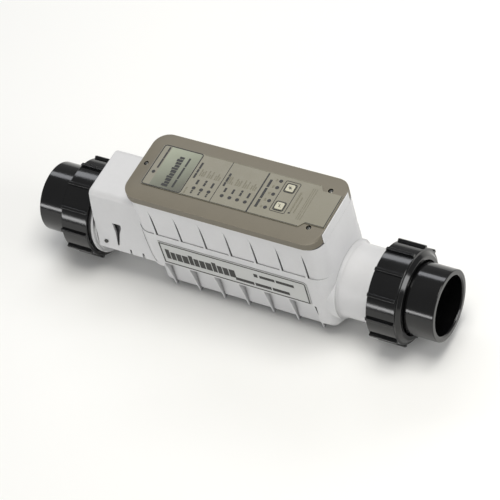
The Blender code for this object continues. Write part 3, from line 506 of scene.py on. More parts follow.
def shade(colour, share):
    """The colour made lighter or darker."""
    return (*(min(part * share, 1) for part in colour), 1)


def new_finish(name):
    made = bpy.data.materials.new(name)
    made.use_nodes = True
    tree = made.node_tree
    place = node(tree, "ShaderNodeTexCoord").outputs["Object"]
    return made, tree, tree.nodes["Principled BSDF"], place


def tint(code):
    """A hex colour, or by its name one of the colours that a user can change."""
    return linear(code) if code.startswith("#") else getattr(colours(), code)


def ramp(tree, factor, dark, light, stops=(0.0, 1.0)):
    """A colour that runs from dark to light with the factor."""
    tone = node(tree, "ShaderNodeValToRGB", Fac=factor)
    for element, stop, colour in zip(tone.color_ramp.elements, stops, (dark, light)):
        element.position = stop
        element.color = colour
    return tone.outputs["Color"]


def noise(tree, place, size, detail):
    return node(tree, "ShaderNodeTexNoise", Vector=place, Scale=per_mm(size), Detail=detail)


def paint(tree, shader, colour, sheen, relief, strength, distance):
    """Links a finish up: colour, (factor, lowest, highest) of roughness, and a bump."""
    tree.links.new(colour, shader.inputs["Base Color"])
    factor, low, high = sheen
    rough = node(tree, "ShaderNodeMapRange", Value=factor, To_Min=low, To_Max=high)
    tree.links.new(rough.outputs[0], shader.inputs["Roughness"])
    bump = node(tree, "ShaderNodeBump", Height=relief, Strength=strength, Distance=distance)
    tree.links.new(bump.outputs["Normal"], shader.inputs["Normal"])


def moulding(name, code, roughness, grain=0.35, depth=0.02, cloud=28, uneven=0.06, edge_wear_and_highlight=None,
             wear_and_highlight=0.5, painted_shade=None):
    """Moulded plastic: cloudy colour, spark-eroded grain, and, if given, edges lightened partly for
    wear and partly as painted highlight, and painted shade in corners.
    """
    colour = tint(code)
    made, tree, shader, place = new_finish(name)
    clouds = noise(tree, place, cloud, 4.0)
    clouds.inputs["Roughness"].default_value = 0.55
    specks = noise(tree, place, cloud / 9, 3.0)
    blend = node(tree, "ShaderNodeMath", {"operation": "MULTIPLY_ADD"},
                 _0=specks.outputs["Fac"], _1=0.35, _2=clouds.outputs["Fac"])
    surface = ramp(tree, blend.outputs[0], shade(colour, 1 - uneven),
                   shade(colour, 1 + uneven * 0.6), (0.45, 0.90))
    # Lightened edges: partly rubbed wear, partly painted highlight where rounded edges would catch
    # the light.
    if edge_wear_and_highlight is not None:
        surface = worn_and_highlit_edges(tree, place, surface, linear(edge_wear_and_highlight), wear_and_highlight)
    # Painted shade: the colour darkens where corners, recesses and narrow gaps keep light out.
    if painted_shade is not None:
        surface = painted_corner_shade(tree, surface, linear(painted_shade))
    pitted = noise(tree, place, grain, 2.0)
    paint(tree, shader, surface, (clouds.outputs["Fac"], roughness * 0.82, roughness * 1.2),
          pitted.outputs["Fac"], 0.5, depth / 1000)
    return made


def worn_and_highlit_edges(tree, place, surface, edge_wear_and_highlight, wear_and_highlight):
    """The surface with its edges lightened towards the edge colour, in patches: partly rubbed wear,
    partly painted highlight along the edges.
    """
    soft = node(tree, "ShaderNodeBevel", {"samples": 4}, Radius=0.0009)
    straight = node(tree, "ShaderNodeNewGeometry")
    facing = node(tree, "ShaderNodeVectorMath", {"operation": "DOT_PRODUCT"},
                  _0=soft.outputs["Normal"], _1=straight.outputs["Normal"])
    edges = node(tree, "ShaderNodeMapRange", Value=facing.outputs["Value"],
                 From_Min=0.99, From_Max=0.86, To_Min=0.0, To_Max=wear_and_highlight)
    patchy = noise(tree, place, 6, 5.0)
    amount = node(tree, "ShaderNodeMath", {"operation": "MULTIPLY"},
                  _0=edges.outputs[0], _1=patchy.outputs["Fac"])
    mix = node(tree, "ShaderNodeMix", {"data_type": "RGBA"}, _0=amount.outputs[0],
               _6=surface, _7=(*edge_wear_and_highlight, 1))
    return mix.outputs[2]


def painted_corner_shade(tree, surface, painted_shade):
    """The surface darkened in its corners and narrow gaps: painted shade, driven by ambient
    occlusion.
    """
    shelter = node(tree, "ShaderNodeAmbientOcclusion", {"samples": 12}, Distance=0.0120)
    shade_share = node(tree, "ShaderNodeMapRange", Value=shelter.outputs["AO"],
                   From_Min=0.30, From_Max=0.72, To_Min=0.90, To_Max=0.0)
    mix = node(tree, "ShaderNodeMix", {"data_type": "RGBA"}, _0=shade_share.outputs[0],
               _6=surface, _7=(*painted_shade, 1))
    return mix.outputs[2]


def film(name, code, roughness=0.34):
    """Polyester graphic film: a flat colour, a fine velvet texture and a slow change of tone."""
    colour = tint(code)
    made, tree, shader, place = new_finish(name)
    slow = noise(tree, place, 70, 2.0)
    tone = ramp(tree, slow.outputs["Fac"], shade(colour, 0.95), shade(colour, 1.05), (0.3, 0.7))
    smears = noise(tree, place, 11, 5.0)
    velvet = node(tree, "ShaderNodeTexVoronoi", Vector=place, Scale=per_mm(0.28))
    paint(tree, shader, tone, (smears.outputs["Fac"], roughness * 0.75, roughness * 1.3),
          velvet.outputs["Distance"], 0.25, 0.00002)
    return made


def window_film(name, code):
    """The graded printed field at the film's inlet end, dark towards the nameplate side."""
    made = film(name, code)
    tree = made.node_tree
    place = next(n for n in tree.nodes if n.type == "TEX_COORD").outputs["Object"]
    parts = node(tree, "ShaderNodeSeparateXYZ", Vector=place)
    slant = node(tree, "ShaderNodeMath", {"operation": "MULTIPLY_ADD"},
                 _0=parts.outputs["X"], _1=-0.6, _2=parts.outputs["Y"])
    edge = node(tree, "ShaderNodeMapRange", Value=slant.outputs[0], From_Min=0.0, From_Max=0.062)
    tone = ramp(tree, edge.outputs[0], (*linear("#4B4B3D"), 1), (*linear("#8F9480"), 1))
    tree.links.new(tone, tree.nodes["Principled BSDF"].inputs["Base Color"])
    return made


def screen_ink(name, code):
    """Screen-printed ink: dense, satin, with pinholes that thin its colour."""
    colour = tint(code)
    made, tree, shader, place = new_finish(name)
    holes = noise(tree, place, 0.8, 3.0).outputs["Fac"]
    tone = ramp(tree, holes, shade(colour, 0.85), shade(colour, 1.35), (0.35, 0.75))
    paint(tree, shader, tone, (holes, 0.42, 0.42), holes, 0.2, 0.00001)
    return made


def stainless(name, dark, light):
    """Turned stainless steel with fine circular tool marks and small stains."""
    made, tree, shader, place = new_finish(name)
    marks = noise(tree, place, 0.25, 3.0).outputs["Fac"]
    stains = noise(tree, place, 2, 4.0).outputs["Fac"]
    tone = ramp(tree, stains, (*linear(dark), 1), (*linear(light), 1), (0.3, 0.7))
    shader.inputs["Metallic"].default_value = 1.0
    paint(tree, shader, tone, (marks, 0.22, 0.42), marks, 0.3, 0.00001)
    return made


def coated_titanium(name):
    """Titanium with a baked mixed-oxide coating: dark, dull, finely cracked."""
    made, tree, shader, place = new_finish(name)
    cracks = node(tree, "ShaderNodeTexVoronoi", {"feature": "DISTANCE_TO_EDGE"},
                  Vector=place, Scale=per_mm(1.2))
    patches = noise(tree, place, 14, 5.0).outputs["Fac"]
    tone = ramp(tree, patches, (*linear("#3A3836"), 1), (*linear("#5C5650"), 1), (0.35, 0.7))
    shader.inputs["Metallic"].default_value = 0.6
    paint(tree, shader, tone, (patches, 0.5, 0.7), cracks.outputs["Distance"], 0.4, 0.00005)
    return made


def board_laminate(name):
    """Glass-epoxy board under green solder mask, with its copper tracks as paler lines."""
    made, tree, shader, place = new_finish(name)
    mask, track, gap = ((*linear(code), 1) for code in ("#1D5A35", "#226640", "#3B8556"))
    tracks = node(tree, "ShaderNodeTexBrick", {"offset": 0.37, "squash": 0.6}, Vector=place,
                  Scale=per_mm(9), Color1=mask, Color2=track, Mortar=gap)
    tracks.inputs["Mortar Size"].default_value = 0.03
    weave = noise(tree, place, 0.6, 2.0)
    paint(tree, shader, tracks.outputs["Color"], (weave.outputs["Fac"], 0.25, 0.4),
          tracks.outputs["Fac"], 0.3, 0.00004)
    return made


def light_pipe(name):
    """Clear acrylic light pipe: smoky, polished, with faint flow lines."""
    made, tree, shader, place = new_finish(name)
    flow = noise(tree, place, 3, 2.0)
    tone = ramp(tree, flow.outputs["Fac"], (*linear("#8C9088"), 1), (*linear("#B4B8AE"), 1))
    tree.links.new(tone, shader.inputs["Base Color"])
    shader.inputs["Roughness"].default_value = 0.12
    shader.inputs["Transmission Weight"].default_value = 0.6
    shader.inputs["IOR"].default_value = 1.49
    return made


# For each finish its recipe, the material's name and the recipe's own values
RECIPES = {
    # In a moulding recipe, the colour after the five numbers lightens the edges, partly as wear and
    # partly as painted highlight, by the share that follows it.
    # On white and taupe the last colour is painted shade for corners and narrow gaps.
    "white": (moulding, "moulded_white_asa", "housing", 0.42, 0.5, 0.02, 45, 0.035,
              "#F2F2F0", 0.7, "#4C4C4E"),
    "taupe": (moulding, "textured_taupe_asa", "lid", 0.52, 0.45, 0.05, 30, 0.05,
              "#BDB5A4", 0.9, "#3A362D"),
    "black": (moulding, "glossy_black_pvc", "union", 0.13, 2.2, 0.02, 22, 0.25, "#55575A", 0.45),
    "rubber": (moulding, "nitrile_rubber", "#1B1B1C", 0.75, 0.3, 0.02, 5, 0.3),
    "nylon": (moulding, "glass_filled_nylon", "#1D1E20", 0.48, 0.25, 0.04, 8, 0.2, "#4A4B4D"),
    "acetal": (moulding, "natural_acetal", "#D8D2BC", 0.38, 0.6, 0.01, 6, 0.06),
    "lead": (moulding, "cable_jacket_pvc", "#202124", 0.45, 0.8, 0.02, 4, 0.15),
    "epoxy": (moulding, "epoxy_moulding_compound", "#232426", 0.6, 0.2, 0.02, 3, 0.12),
    "key": (moulding, "pale_keycap", "key", 0.36, 0.3, 0.02, 5, 0.05, "#E4E2D4"),
    "film": (film, "velvet_polyester_film", "film", 0.34),
    "label": (film, "grey_polyester_label", "label", 0.38),
    "field": (window_film, "graded_printed_field", "#7F7F70"),
    "ink": (screen_ink, "screen_printed_ink", "ink"),
    "pale_ink": (screen_ink, "faded_small_print", "#6E6A58"),
    "steel": (stainless, "turned_stainless_steel", "#9A9A98", "#CFCFCC"),
    "dark_steel": (stainless, "blackened_stainless_steel", "#3A3A39", "#6A6A67"),
    "titanium": (coated_titanium, "oxide_coated_titanium"),
    "board": (board_laminate, "solder_masked_laminate"),
    "clear": (light_pipe, "clear_acrylic"),
}
finishes = {}


def finish(name):
    if name not in finishes:
        recipe, *values = RECIPES[name]
        finishes[name] = recipe(*values)
    return finishes[name]


# Housing


def body_block(grow=0.0, low=BAND_LOW, segments=14):
    """The finned body without its fins: the band, the ledge, the sloping pocket, the crown."""
    item = block("cell_housing_fine", (BODY_LEFT - grow, -BODY_HALF - grow, low),
                 (BODY_RIGHT + grow, BODY_HALF + grow, LEDGE + grow))
    round_uprights(item, CORNER, segments)
    stair = (
        (0.0, (POCKET_HALF + grow) / (BODY_HALF + grow)),
        (POCKET_TOP - LEDGE - grow, (BODY_HALF + grow) / (POCKET_HALF + grow)),
        (BODY_TOP - POCKET_TOP, 1.0),
    )
    top = height(LEDGE + grow)
    with editing(item, "FACE"):
        pick(item, lambda point: near(point.z, top), "FACE")
        for rise, spread in stair:
            bpy.ops.mesh.extrude_region_move(TRANSFORM_OT_translate={"value": (0, 0, rise)})
            bpy.ops.transform.resize(value=(1, spread, 1), center_override=(0, 0, 0))
    return item


def foot(name, x0, x1, low, corner_x, drop):
    """A full-width lobe below the band with a rounded lower edge and rounded outer corners."""
    reach = BODY_HALF - 0.0001
    item = block(name, (x0, -reach, low), (x1, reach, BAND_LOW + 0.002))
    round_uprights(item, CORNER, 14, lambda point: near(point.x, corner_x))
    inner_x = x0 if corner_x == x1 else x1
    return round_edges(item, drop, 8, lambda a, b: (
        near(a.z, height(low)) and near(b.z, height(low))
        and not (near(a.x, inner_x) and near(b.x, inner_x))))


def lower_fin(name, x):
    half = LOWER_FIN_THICK / 2
    x += LOWER_FIN_SHIFT
    reach = BODY_HALF - 0.0004
    item = block(name, (x - half, -reach, FIN_TIP_LOW), (x + half, reach, BAND_LOW + 0.001))
    narrow(item, FIN_TIP_HALF / reach, lambda point: near(point.z, height(FIN_TIP_LOW)))
    return bevel_edges(item, 0.0004, 2)


def upper_fin(name, x):
    half = sizes().fin_thickness / 2
    reach = BODY_HALF + 0.0001
    item = block(name, (x - half, -reach, LEDGE - 0.001), (x + half, reach, POCKET_TOP + 0.001))
    return soften(item, 0.0004, 2, lambda point: abs(point.y) > reach - 0.0001)


def chamber():
    """The electrode chamber's straight-sided trough below the band."""
    item = block("chamber", (CHAMBER_LEFT, -CHAMBER_HALF, CHAMBER_LOW),
                 (CHAMBER_RIGHT, CHAMBER_HALF, BAND_LOW + 0.002))
    round_uprights(item, CHAMBER_CORNER, 10)
    return soften(item, CHAMBER_ROUND, 6, lambda p: near(p.z, height(CHAMBER_LOW)))


def end_lip():
    """The rise of the outlet end wall that closes off the lid's flat end."""
    reach = LIP_HALF + LIP_TAPER
    item = block("end_lip", (LIP_LEFT, -reach, BODY_TOP - 0.002),
                 (BODY_RIGHT - 0.0001, reach, LIP_TOP))
    return narrow(item, LIP_HALF / reach, lambda p: p.x > LIP_LEFT + 0.0001)


def fin_grooves():
    """Narrow wedges beside the upper fins, deepest at the ledge."""
    grooves = []
    for k in range(FIN_COUNT):
        x = FIRST_FIN + FIN_STEP * k + sizes().fin_thickness / 2
        for side in (-1, 1):
            low, high = sorted((side * GROOVE_HALF, side * (BODY_HALF + 0.001)))
            item = block("groove", (x, low, LEDGE), (x + GROOVE_WIDTH, high, POCKET_TOP))
            with editing(item, "VERT"):
                pick(item, lambda p: near(p.z, height(POCKET_TOP)) and abs(p.y) < BODY_HALF, "VERT")
                bpy.ops.transform.translate(value=(0, side * (BODY_HALF - GROOVE_HALF), 0))
            grooves.append(item)
    return grooves


def outlet_tube():
    """The outlet neck, flared where it leaves the end face, with its thread land."""
    flare_radius = 0.0033
    flare = [(BODY_RIGHT + 0.0035 - flare_radius * math.cos(a), 0.0408 - flare_radius * math.sin(a))
             for a in (math.radians(90 - 9 * k) for k in range(11))]
    land = [(NECK_END, 0), (NECK_END, THREAD_ROOT - 0.0006), (NECK_END - 0.0006, THREAD_ROOT),
            (0.1600, THREAD_ROOT), (0.1570, NECK_RADIUS)]
    return along_flow("outlet_tube", land + flare + [(0.1100, 0.0400), (0.1100, 0)], closed=False)


def inlet_tube():
    """The inlet end of the tube: thread land, two collars and the plain tube under the cover."""
    profile = [(NECK_END, THREAD_ROOT - 0.0006), (NECK_END - 0.0006, THREAD_ROOT),
               (0.1590, THREAD_ROOT), (0.1575, 0.0435), (0.1552, 0.0435), (0.1550, 0.0405),
               (0.1528, 0.0405), (0.1526, TUBE_RADIUS), (0.0900, TUBE_RADIUS)]
    return along_flow("inlet_tube", [(NECK_END, 0), *profile, (0.0900, 0)], -1, closed=False)


def column(x, low, high, y=0.0):
    """The ends of an upright rod."""
    return (x, y, low), (x, y, high)


def crossbar(x, level, low, high):
    """The ends of a rod that runs from front to back."""
    return (x, low, level), (x, high, level)


def housing_cutters():
    """The flow bore, the seal grooves, the terminal holes and the sensor ports."""
    cutters = [rod("flow_bore", (-HALF_LENGTH, 0, 0), (HALF_LENGTH, 0, 0), BORE)]
    far, near_end = NECK_END + 0.001, NECK_END - 0.0029
    groove = [(far, SEAL_RADIUS - 0.0021), (far, SEAL_RADIUS + 0.0021),
              (near_end, SEAL_RADIUS + 0.0021), (near_end, SEAL_RADIUS - 0.0021)]
    cutters += [along_flow(f"seal_groove_{side}", groove, side) for side in (1, -1)]
    for x, radius, low, high in ((-0.0500, 0.0033, 0.020, 0.043), (0.0700, 0.0033, 0.020, 0.043),
                                 (-0.1240, 0.0098, 0.010, 0.060), (-0.1430, 0.0026, 0.010, 0.060),
                                 (-0.1045, 0.0036, 0.010, 0.060)):
        cutters.append(rod("port", *column(x, low, high), radius, sides=32))
    lead_way = (BODY_LEFT - 0.002, 0, 0.0560), (CAVITY_LEFT + 0.002, 0, 0.0560)
    cutters.append(rod("lead_hole", *lead_way, 0.0032, sides=24))
    for side in (-1, 1):
        ends = crossbar(COVER_SCREW_X, COVER_SCREW_HEIGHT, side * 0.0318, side * 0.0365)
        cutters.append(rod("cover_screw_hole", *ends, SCREW_HOLE, sides=16))
    return cutters


def lid_posts():
    x, y = LID_SCREWS["lid_screw_left"]
    reach = 0.0035
    posts = [block("lid_post", (x - reach, y - reach, 0.070),
                   (x + reach, y + reach, BODY_TOP - 0.0001))]
    for name in ("lid_screw_front", "lid_screw_back"):
        x, y = LID_SCREWS[name]
        ends = column(x, CAVITY_FLOOR - 0.001, BODY_TOP - 0.0001, y)
        posts.append(rod("lid_post", *ends, 0.0038, sides=24))
    for x in BOARD_X:
        for y in (-BOARD_Y, BOARD_Y):
            ends = column(x, CAVITY_FLOOR - 0.001, BOARD_LOW, y)
            posts.append(rod("board_post", *ends, 0.0030, sides=24))
    return posts


def lid_screw_holes(low):
    return [rod("screw_hole", *column(x, low, 0.120, y), SCREW_HOLE, sides=16)
            for x, y in LID_SCREWS.values()]


def cavity(grow, floor):
    item = block("cavity", (CAVITY_LEFT - grow, -CAVITY_HALF - grow, floor),
                 (CAVITY_RIGHT + grow, CAVITY_HALF + grow, BODY_TOP + 0.01))
    return round_uprights(item, 0.012, 10)


def build_housing():
    edge = sizes().edge_radius
    item = body_block()
    ledge, crown = height(LEDGE), height(POCKET_TOP)
    band_low = height(BAND_LOW)
    soften(item, edge, 3, lambda p: near(p.z, ledge) and abs(p.y) > 0.0001 and (
        abs(p.y) > POCKET_HALF + 0.0005 or not BODY_LEFT + CORNER <= p.x <= BODY_RIGHT - CORNER))
    soften(item, 0.0030, 3, lambda p: near(p.z, crown))
    soften(item, edge, 3, lambda p: near(p.z, band_low))
    shapes = [
        chamber(),
        foot("outlet_foot", 0.1003, BODY_RIGHT, -0.0370, BODY_RIGHT, 0.012),
        foot("inlet_foot", BODY_LEFT, -0.0740, -0.0160, BODY_LEFT, 0.008),
        outlet_tube(), inlet_tube(), end_lip(),
    ]
    for k in range(FIN_COUNT):
        x = FIRST_FIN + FIN_STEP * k
        shapes += [lower_fin(f"lower_fin_{k}", x), upper_fin(f"upper_fin_{k}", x)]
    for x, radius in ((-0.1240, 0.0130), (-0.1430, 0.0055), (-0.1045, 0.0055)):
        shapes.append(rod("boss", *column(x, 0.0315, 0.0450), radius, sides=48))
    unite(item, *shapes)
    carve(item, cavity(0.0, CAVITY_FLOOR))
    unite(item, *lid_posts())
    carve(item, *housing_cutters(), *lid_screw_holes(0.078), *fin_grooves())
    unite(item, *(helix("male_thread", 0.0402, 0.0430, THREAD_MIDDLE, side) for side in (1, -1)))
    finished(item, finish("white"), replaces=["cell_housing"])


# Sensor cover


def cover_prism(name, grow, left, right, edge):
    """The cover's cross-section, leaning in to a flat top with rounded long edges."""
    lean = (COVER_LOW_HALF - COVER_TOP_HALF) / (COVER_TOP - COVER_LOW)
    low, top = COVER_LOW + grow * 2, COVER_TOP + grow

    def half_at(level):
        return COVER_TOP_HALF + (COVER_TOP - level) * lean + grow * math.hypot(1, lean)

    item = block(name, (left, -half_at(low), low), (right, half_at(low), top))
    narrow(item, half_at(top) / half_at(low), lambda p: near(p.z, height(top)))
    return round_edges(item, edge, 10, lambda a, b: (
        near(a.z, height(top)) and near(b.z, height(top)) and near(a.y, b.y)))


def side_slot():
    """The teardrop slot in the front of the cover: a wide head that narrows to a slit."""
    levels = ((0.0015, -0.1292, -0.1272), (0.0185, -0.1284, -0.1236), (0.0275, -0.1298, -0.1200),
              (0.0315, -0.1305, -0.1201))
    foot_level, foot_left, foot_right = levels[0]
    item = block("side_slot", (foot_left, -0.0490, foot_level), (foot_right, -0.0290, levels[1][0]))
    with editing(item, "FACE"):
        for here, there in zip(levels, levels[1:]):
            if here is not levels[0]:
                pick(item, lambda p: near(p.z, height(here[0])), "FACE")
                rise = there[0] - here[0]
                bpy.ops.mesh.extrude_region_move(TRANSFORM_OT_translate={"value": (0, 0, rise)})
            pick(item, lambda p: near(p.z, height(there[0])), "FACE")
            spread = (there[2] - there[1]) / (here[2] - here[1])
            middle = (here[1] + here[2]) / 2
            bpy.ops.transform.resize(value=(spread, 1, 1), center_override=(middle, 0, 0))
            shift = (there[1] + there[2]) / 2 - middle
            bpy.ops.transform.translate(value=(shift, 0, 0))
    return round_edges(item, 0.0012, 5, lambda a, b: (
        near(a.x, b.x) and near(a.z, b.z) and a.z > height(0.026)))


def build_sensor_cover():
    far = BODY_LEFT + CORNER
    item = cover_prism("sensor_cover_fine", 0.0, COVER_LEFT, far, sizes().cover_edge)
    soften(item, 0.0022, 5, lambda p: near(p.x, COVER_LEFT) and p.z > height(COVER_LOW) + 0.0001)
    carve(item, cover_prism("cover_hollow", -COVER_WALL, COVER_LEFT + COVER_WALL, far + 0.002,
                            0.0030))
    unite(item, rod("gland_boss", *crossbar(GLAND_X, GLAND_HEIGHT, 0.0315, 0.0385), 0.0115, 64))
    cutters = [
        body_block(FIT_GAP, -0.0200),
        rod("tube_room", (-0.16, 0, 0), (-0.09, 0, 0), TUBE_RADIUS + 0.0006),
        block("tube_way_out", (-0.16, -TUBE_RADIUS - 0.0006, -0.05),
              (-0.14, TUBE_RADIUS + 0.0006, 0)),
        side_slot(),
        rod("gland_hole", *crossbar(GLAND_X, GLAND_HEIGHT, 0.02, 0.05), 0.0078, 48),
    ]
    for x in NOTCHES:
        cutters.append(block("edge_notch", (x - NOTCH_HALF, -0.0450, COVER_LOW - 0.01),
                             (x + NOTCH_HALF, -0.0380, COVER_LOW + NOTCH_RISE)))
    for side in (-1, 1):
        ends = crossbar(COVER_SCREW_X, COVER_SCREW_HEIGHT, side * 0.0340, side * 0.0450)
        cutters.append(rod("screw_clearance", *ends, 0.0015, sides=24))
    carve(item, *cutters)
    finished(item, finish("white"), replaces=["sensor_cover"])


# Lid


def lid_blank():
    """The lid's rim, its sloping shoulder and the flat that the film is stuck to."""
    item = block("top_cover_fine", (LID_LEFT, -LID_HALF, LID_LOW), (LID_RIGHT, LID_HALF, LID_EDGE))
    round_uprights(item, LID_CORNER, 14)
    straight_y = LID_HALF - LID_CORNER
    left_x, right_x = LID_LEFT + LID_CORNER, LID_RIGHT - LID_CORNER
    with editing(item, "FACE"):
        pick(item, lambda p: near(p.z, height(LID_EDGE)), "FACE")
        rise = (0, 0, LID_TOP - LID_EDGE)
        bpy.ops.mesh.extrude_region_move(TRANSFORM_OT_translate={"value": rise})
    with editing(item, "VERT"):
        for side in (-1, 1):
            corner_y = side * straight_y
            for corner_x, outward, radius, target in (
                (left_x, -1, PANEL_CORNER,
                 (PANEL_LEFT + PANEL_CORNER, side * (PANEL_HALF - PANEL_CORNER))),
                (right_x, 1, 0.0006, (LID_RIGHT - 0.0006, side * (PANEL_HALF - 0.0006))),
            ):
                pick(item, lambda p: near(p.z, height(LID_TOP)) and p.y * side > straight_y - 0.0001
                     and (p.x - corner_x) * outward > -0.0001, "VERT")
                share = radius / LID_CORNER
                bpy.ops.transform.resize(value=(share, share, 1),
                                         center_override=(corner_x, corner_y, 0))
                bpy.ops.transform.translate(value=(target[0] - corner_x, target[1] - corner_y, 0))
    soften(item, 0.0006, 3, lambda p: near(p.z, height(LID_EDGE)) and p.x < LID_RIGHT - 0.0100)
    return item


def key_openings():
    reach = KEY_SIZE / 2 + FIT_GAP
    return [block("key_hole", (KEY_X - reach, y - reach, 0.09), (KEY_X + reach, y + reach, 0.11))
            for y in KEY_Y.values()]


def screw_seat(name):
    return LID_TOP - (0.0036 if name == "lid_screw_left" else 0.0026)


def build_lid():
    item = lid_blank()
    carve(item, block("lid_hollow", (-0.0845, -0.0275, LID_LOW - 0.001),
                      (0.1130, 0.0275, LID_EDGE - 0.0012)))
    unite(item, *(rod("lid_boss", *column(x, LID_LOW, LID_EDGE, y), 0.0045, 32)
                  for x, y in (LID_SCREWS["lid_screw_front"], LID_SCREWS["lid_screw_back"])))
    cutters = [block("upper_hollow", (-0.0800, -0.0200, LID_LOW - 0.001),
                     (0.0950, 0.0245, LID_TOP - LID_SKIN))]
    cutters += lid_screw_holes(0.080) + key_openings()
    for name, (x, y) in LID_SCREWS.items():
        cutters.append(rod("screw_recess", *column(x, screw_seat(name), 0.110, y), 0.0028, 48))
    cutters += [rod("dot_hole", *column(x, 0.095, 0.110, y), 0.0017, 16) for x, y in INDICATORS]
    carve(item, *cutters)
    finished(item, finish("taupe"), replaces=["top_cover"], angle=25)


def build_gasket():
    reach = 0.0016
    item = block("lid_gasket_fine", (BODY_LEFT + reach, reach - BODY_HALF, BODY_TOP + FIT_GAP),
                 (BODY_RIGHT - reach, BODY_HALF - reach, LID_LOW - FIT_GAP))
    round_uprights(item, CORNER - reach, 12)
    x, y = LID_SCREWS["lid_screw_left"]
    carve(item, cavity(0.001, BODY_TOP - 0.01), rod("notch", *column(x, 0.078, 0.1, y), 0.0020, 24))
    finished(item, finish("rubber"), replaces=["lid_gasket"])


# Keypad film and its printing


def film_slab():
    edge = 0.0006
    half = PANEL_HALF - edge
    item = block("control_overlay_fine", (PANEL_LEFT + edge, -half, LID_TOP + FIT_GAP),
                 (LID_RIGHT - edge, half, FILM_TOP))
    with editing(item, "FACE"):
        for x in (TONGUE_START, TONGUE_START + 0.004):
            bpy.ops.mesh.select_all(action="SELECT")
            bpy.ops.mesh.bisect(plane_co=(x, 0, 0), plane_no=(1, 0, 0))
    narrow(item, TONGUE_HALF / half, lambda p: p.x > TONGUE_START + 0.0038)
    round_uprights(item, 0.0030, 6, lambda p: near(p.x, PANEL_LEFT + edge))
    return item


def build_film():
    item = film_slab()
    carve(item, *(round_uprights(window, 0.0018, 5) for window in key_openings()))
    soften(item, 0.00015, 2, lambda p: near(p.z, height(FILM_TOP)))
    finished(item, finish("film"), replaces=["control_overlay"])


def printed(name, x0, y0, x1, y1):
    """A printed bar on the keypad film."""
    return block(name, (x0, y0, INK_LOW), (x1, y1, INK_TOP))


def outline_frame(name, size, radius, width, corners=lambda p: True):
    """A thin rounded frame lying flat about the origin, to be placed afterwards."""
    clear_selection()
    bpy.ops.mesh.primitive_plane_add(size=1)
    item = bpy.context.active_object
    item.scale = (size[0], size[1], 1)
    item = placed(name)
    with editing(item, "VERT"):
        pick(item, corners, "VERT")
        bpy.ops.mesh.bevel(offset=radius, segments=6, affect="VERTICES")
    with editing(item, "FACE"):
        bpy.ops.mesh.select_all(action="SELECT")
        bpy.ops.mesh.inset(thickness=width, depth=0)
        bpy.ops.mesh.delete(type="FACE")
        bpy.ops.mesh.select_all(action="SELECT")
        bpy.ops.mesh.extrude_region_move(TRANSFORM_OT_translate={"value": (0, 0, PRINT_THICK)})
        bpy.ops.mesh.select_all(action="SELECT")
        bpy.ops.mesh.normals_make_consistent(inside=False)
    return item


def film_frame(name, x0, y0, x1, y1, radius, width=0.0004):
    item = outline_frame(name, (x1 - x0, y1 - y0), radius, width)
    item.location = ((x0 + x1) / 2, (y0 + y1) / 2, height(INK_LOW))
    only(item)
    return placed(name)


def words(name, x, y, lengths, tall, space=0.0008):
    """A line of greeked words that reads away from the nameplate side: plain bars, no letters."""
    made = []
    for length in lengths:
        made.append(printed(name, x - tall / 2, y, x + tall / 2, y + length))
        y += length + space
    return made


def indicator_dots():
    dots = []
    for k, (x, y) in enumerate(INDICATORS):
        dot = rod(f"dot_{k}", *column(x, INK_LOW, FILM_TOP + DOT_TOP, y), sizes().dot_radius, 32)
        dots.append(bevel_edges(dot, 0.00005, 1))
    return dots


def letters(name, x, y, lengths, tall, space=0.0007):
    """A line of heavy greeked letters: plain blocks of uneven height, no letter among them."""
    made = []
    for k, length in enumerate(lengths):
        rise = tall * (0.0, 0.22, 0.12)[k % 3]
        made.append(printed(name, x - tall / 2 + rise, y, x + tall / 2, y + length))
        y += length + space
    return made


def legends(x, y, bold, fine):
    """What stands over one indicator: a bold word, then lines of small print."""
    marks = words("legend", x, y + 0.0050, bold, 0.0022, 0.0006)
    small = []
    for k, lengths in enumerate(fine):
        small += words("small_print", x - 0.0022 + 0.0022 * k, y + 0.0155, lengths, 0.0012, 0.0006)
    return marks, small


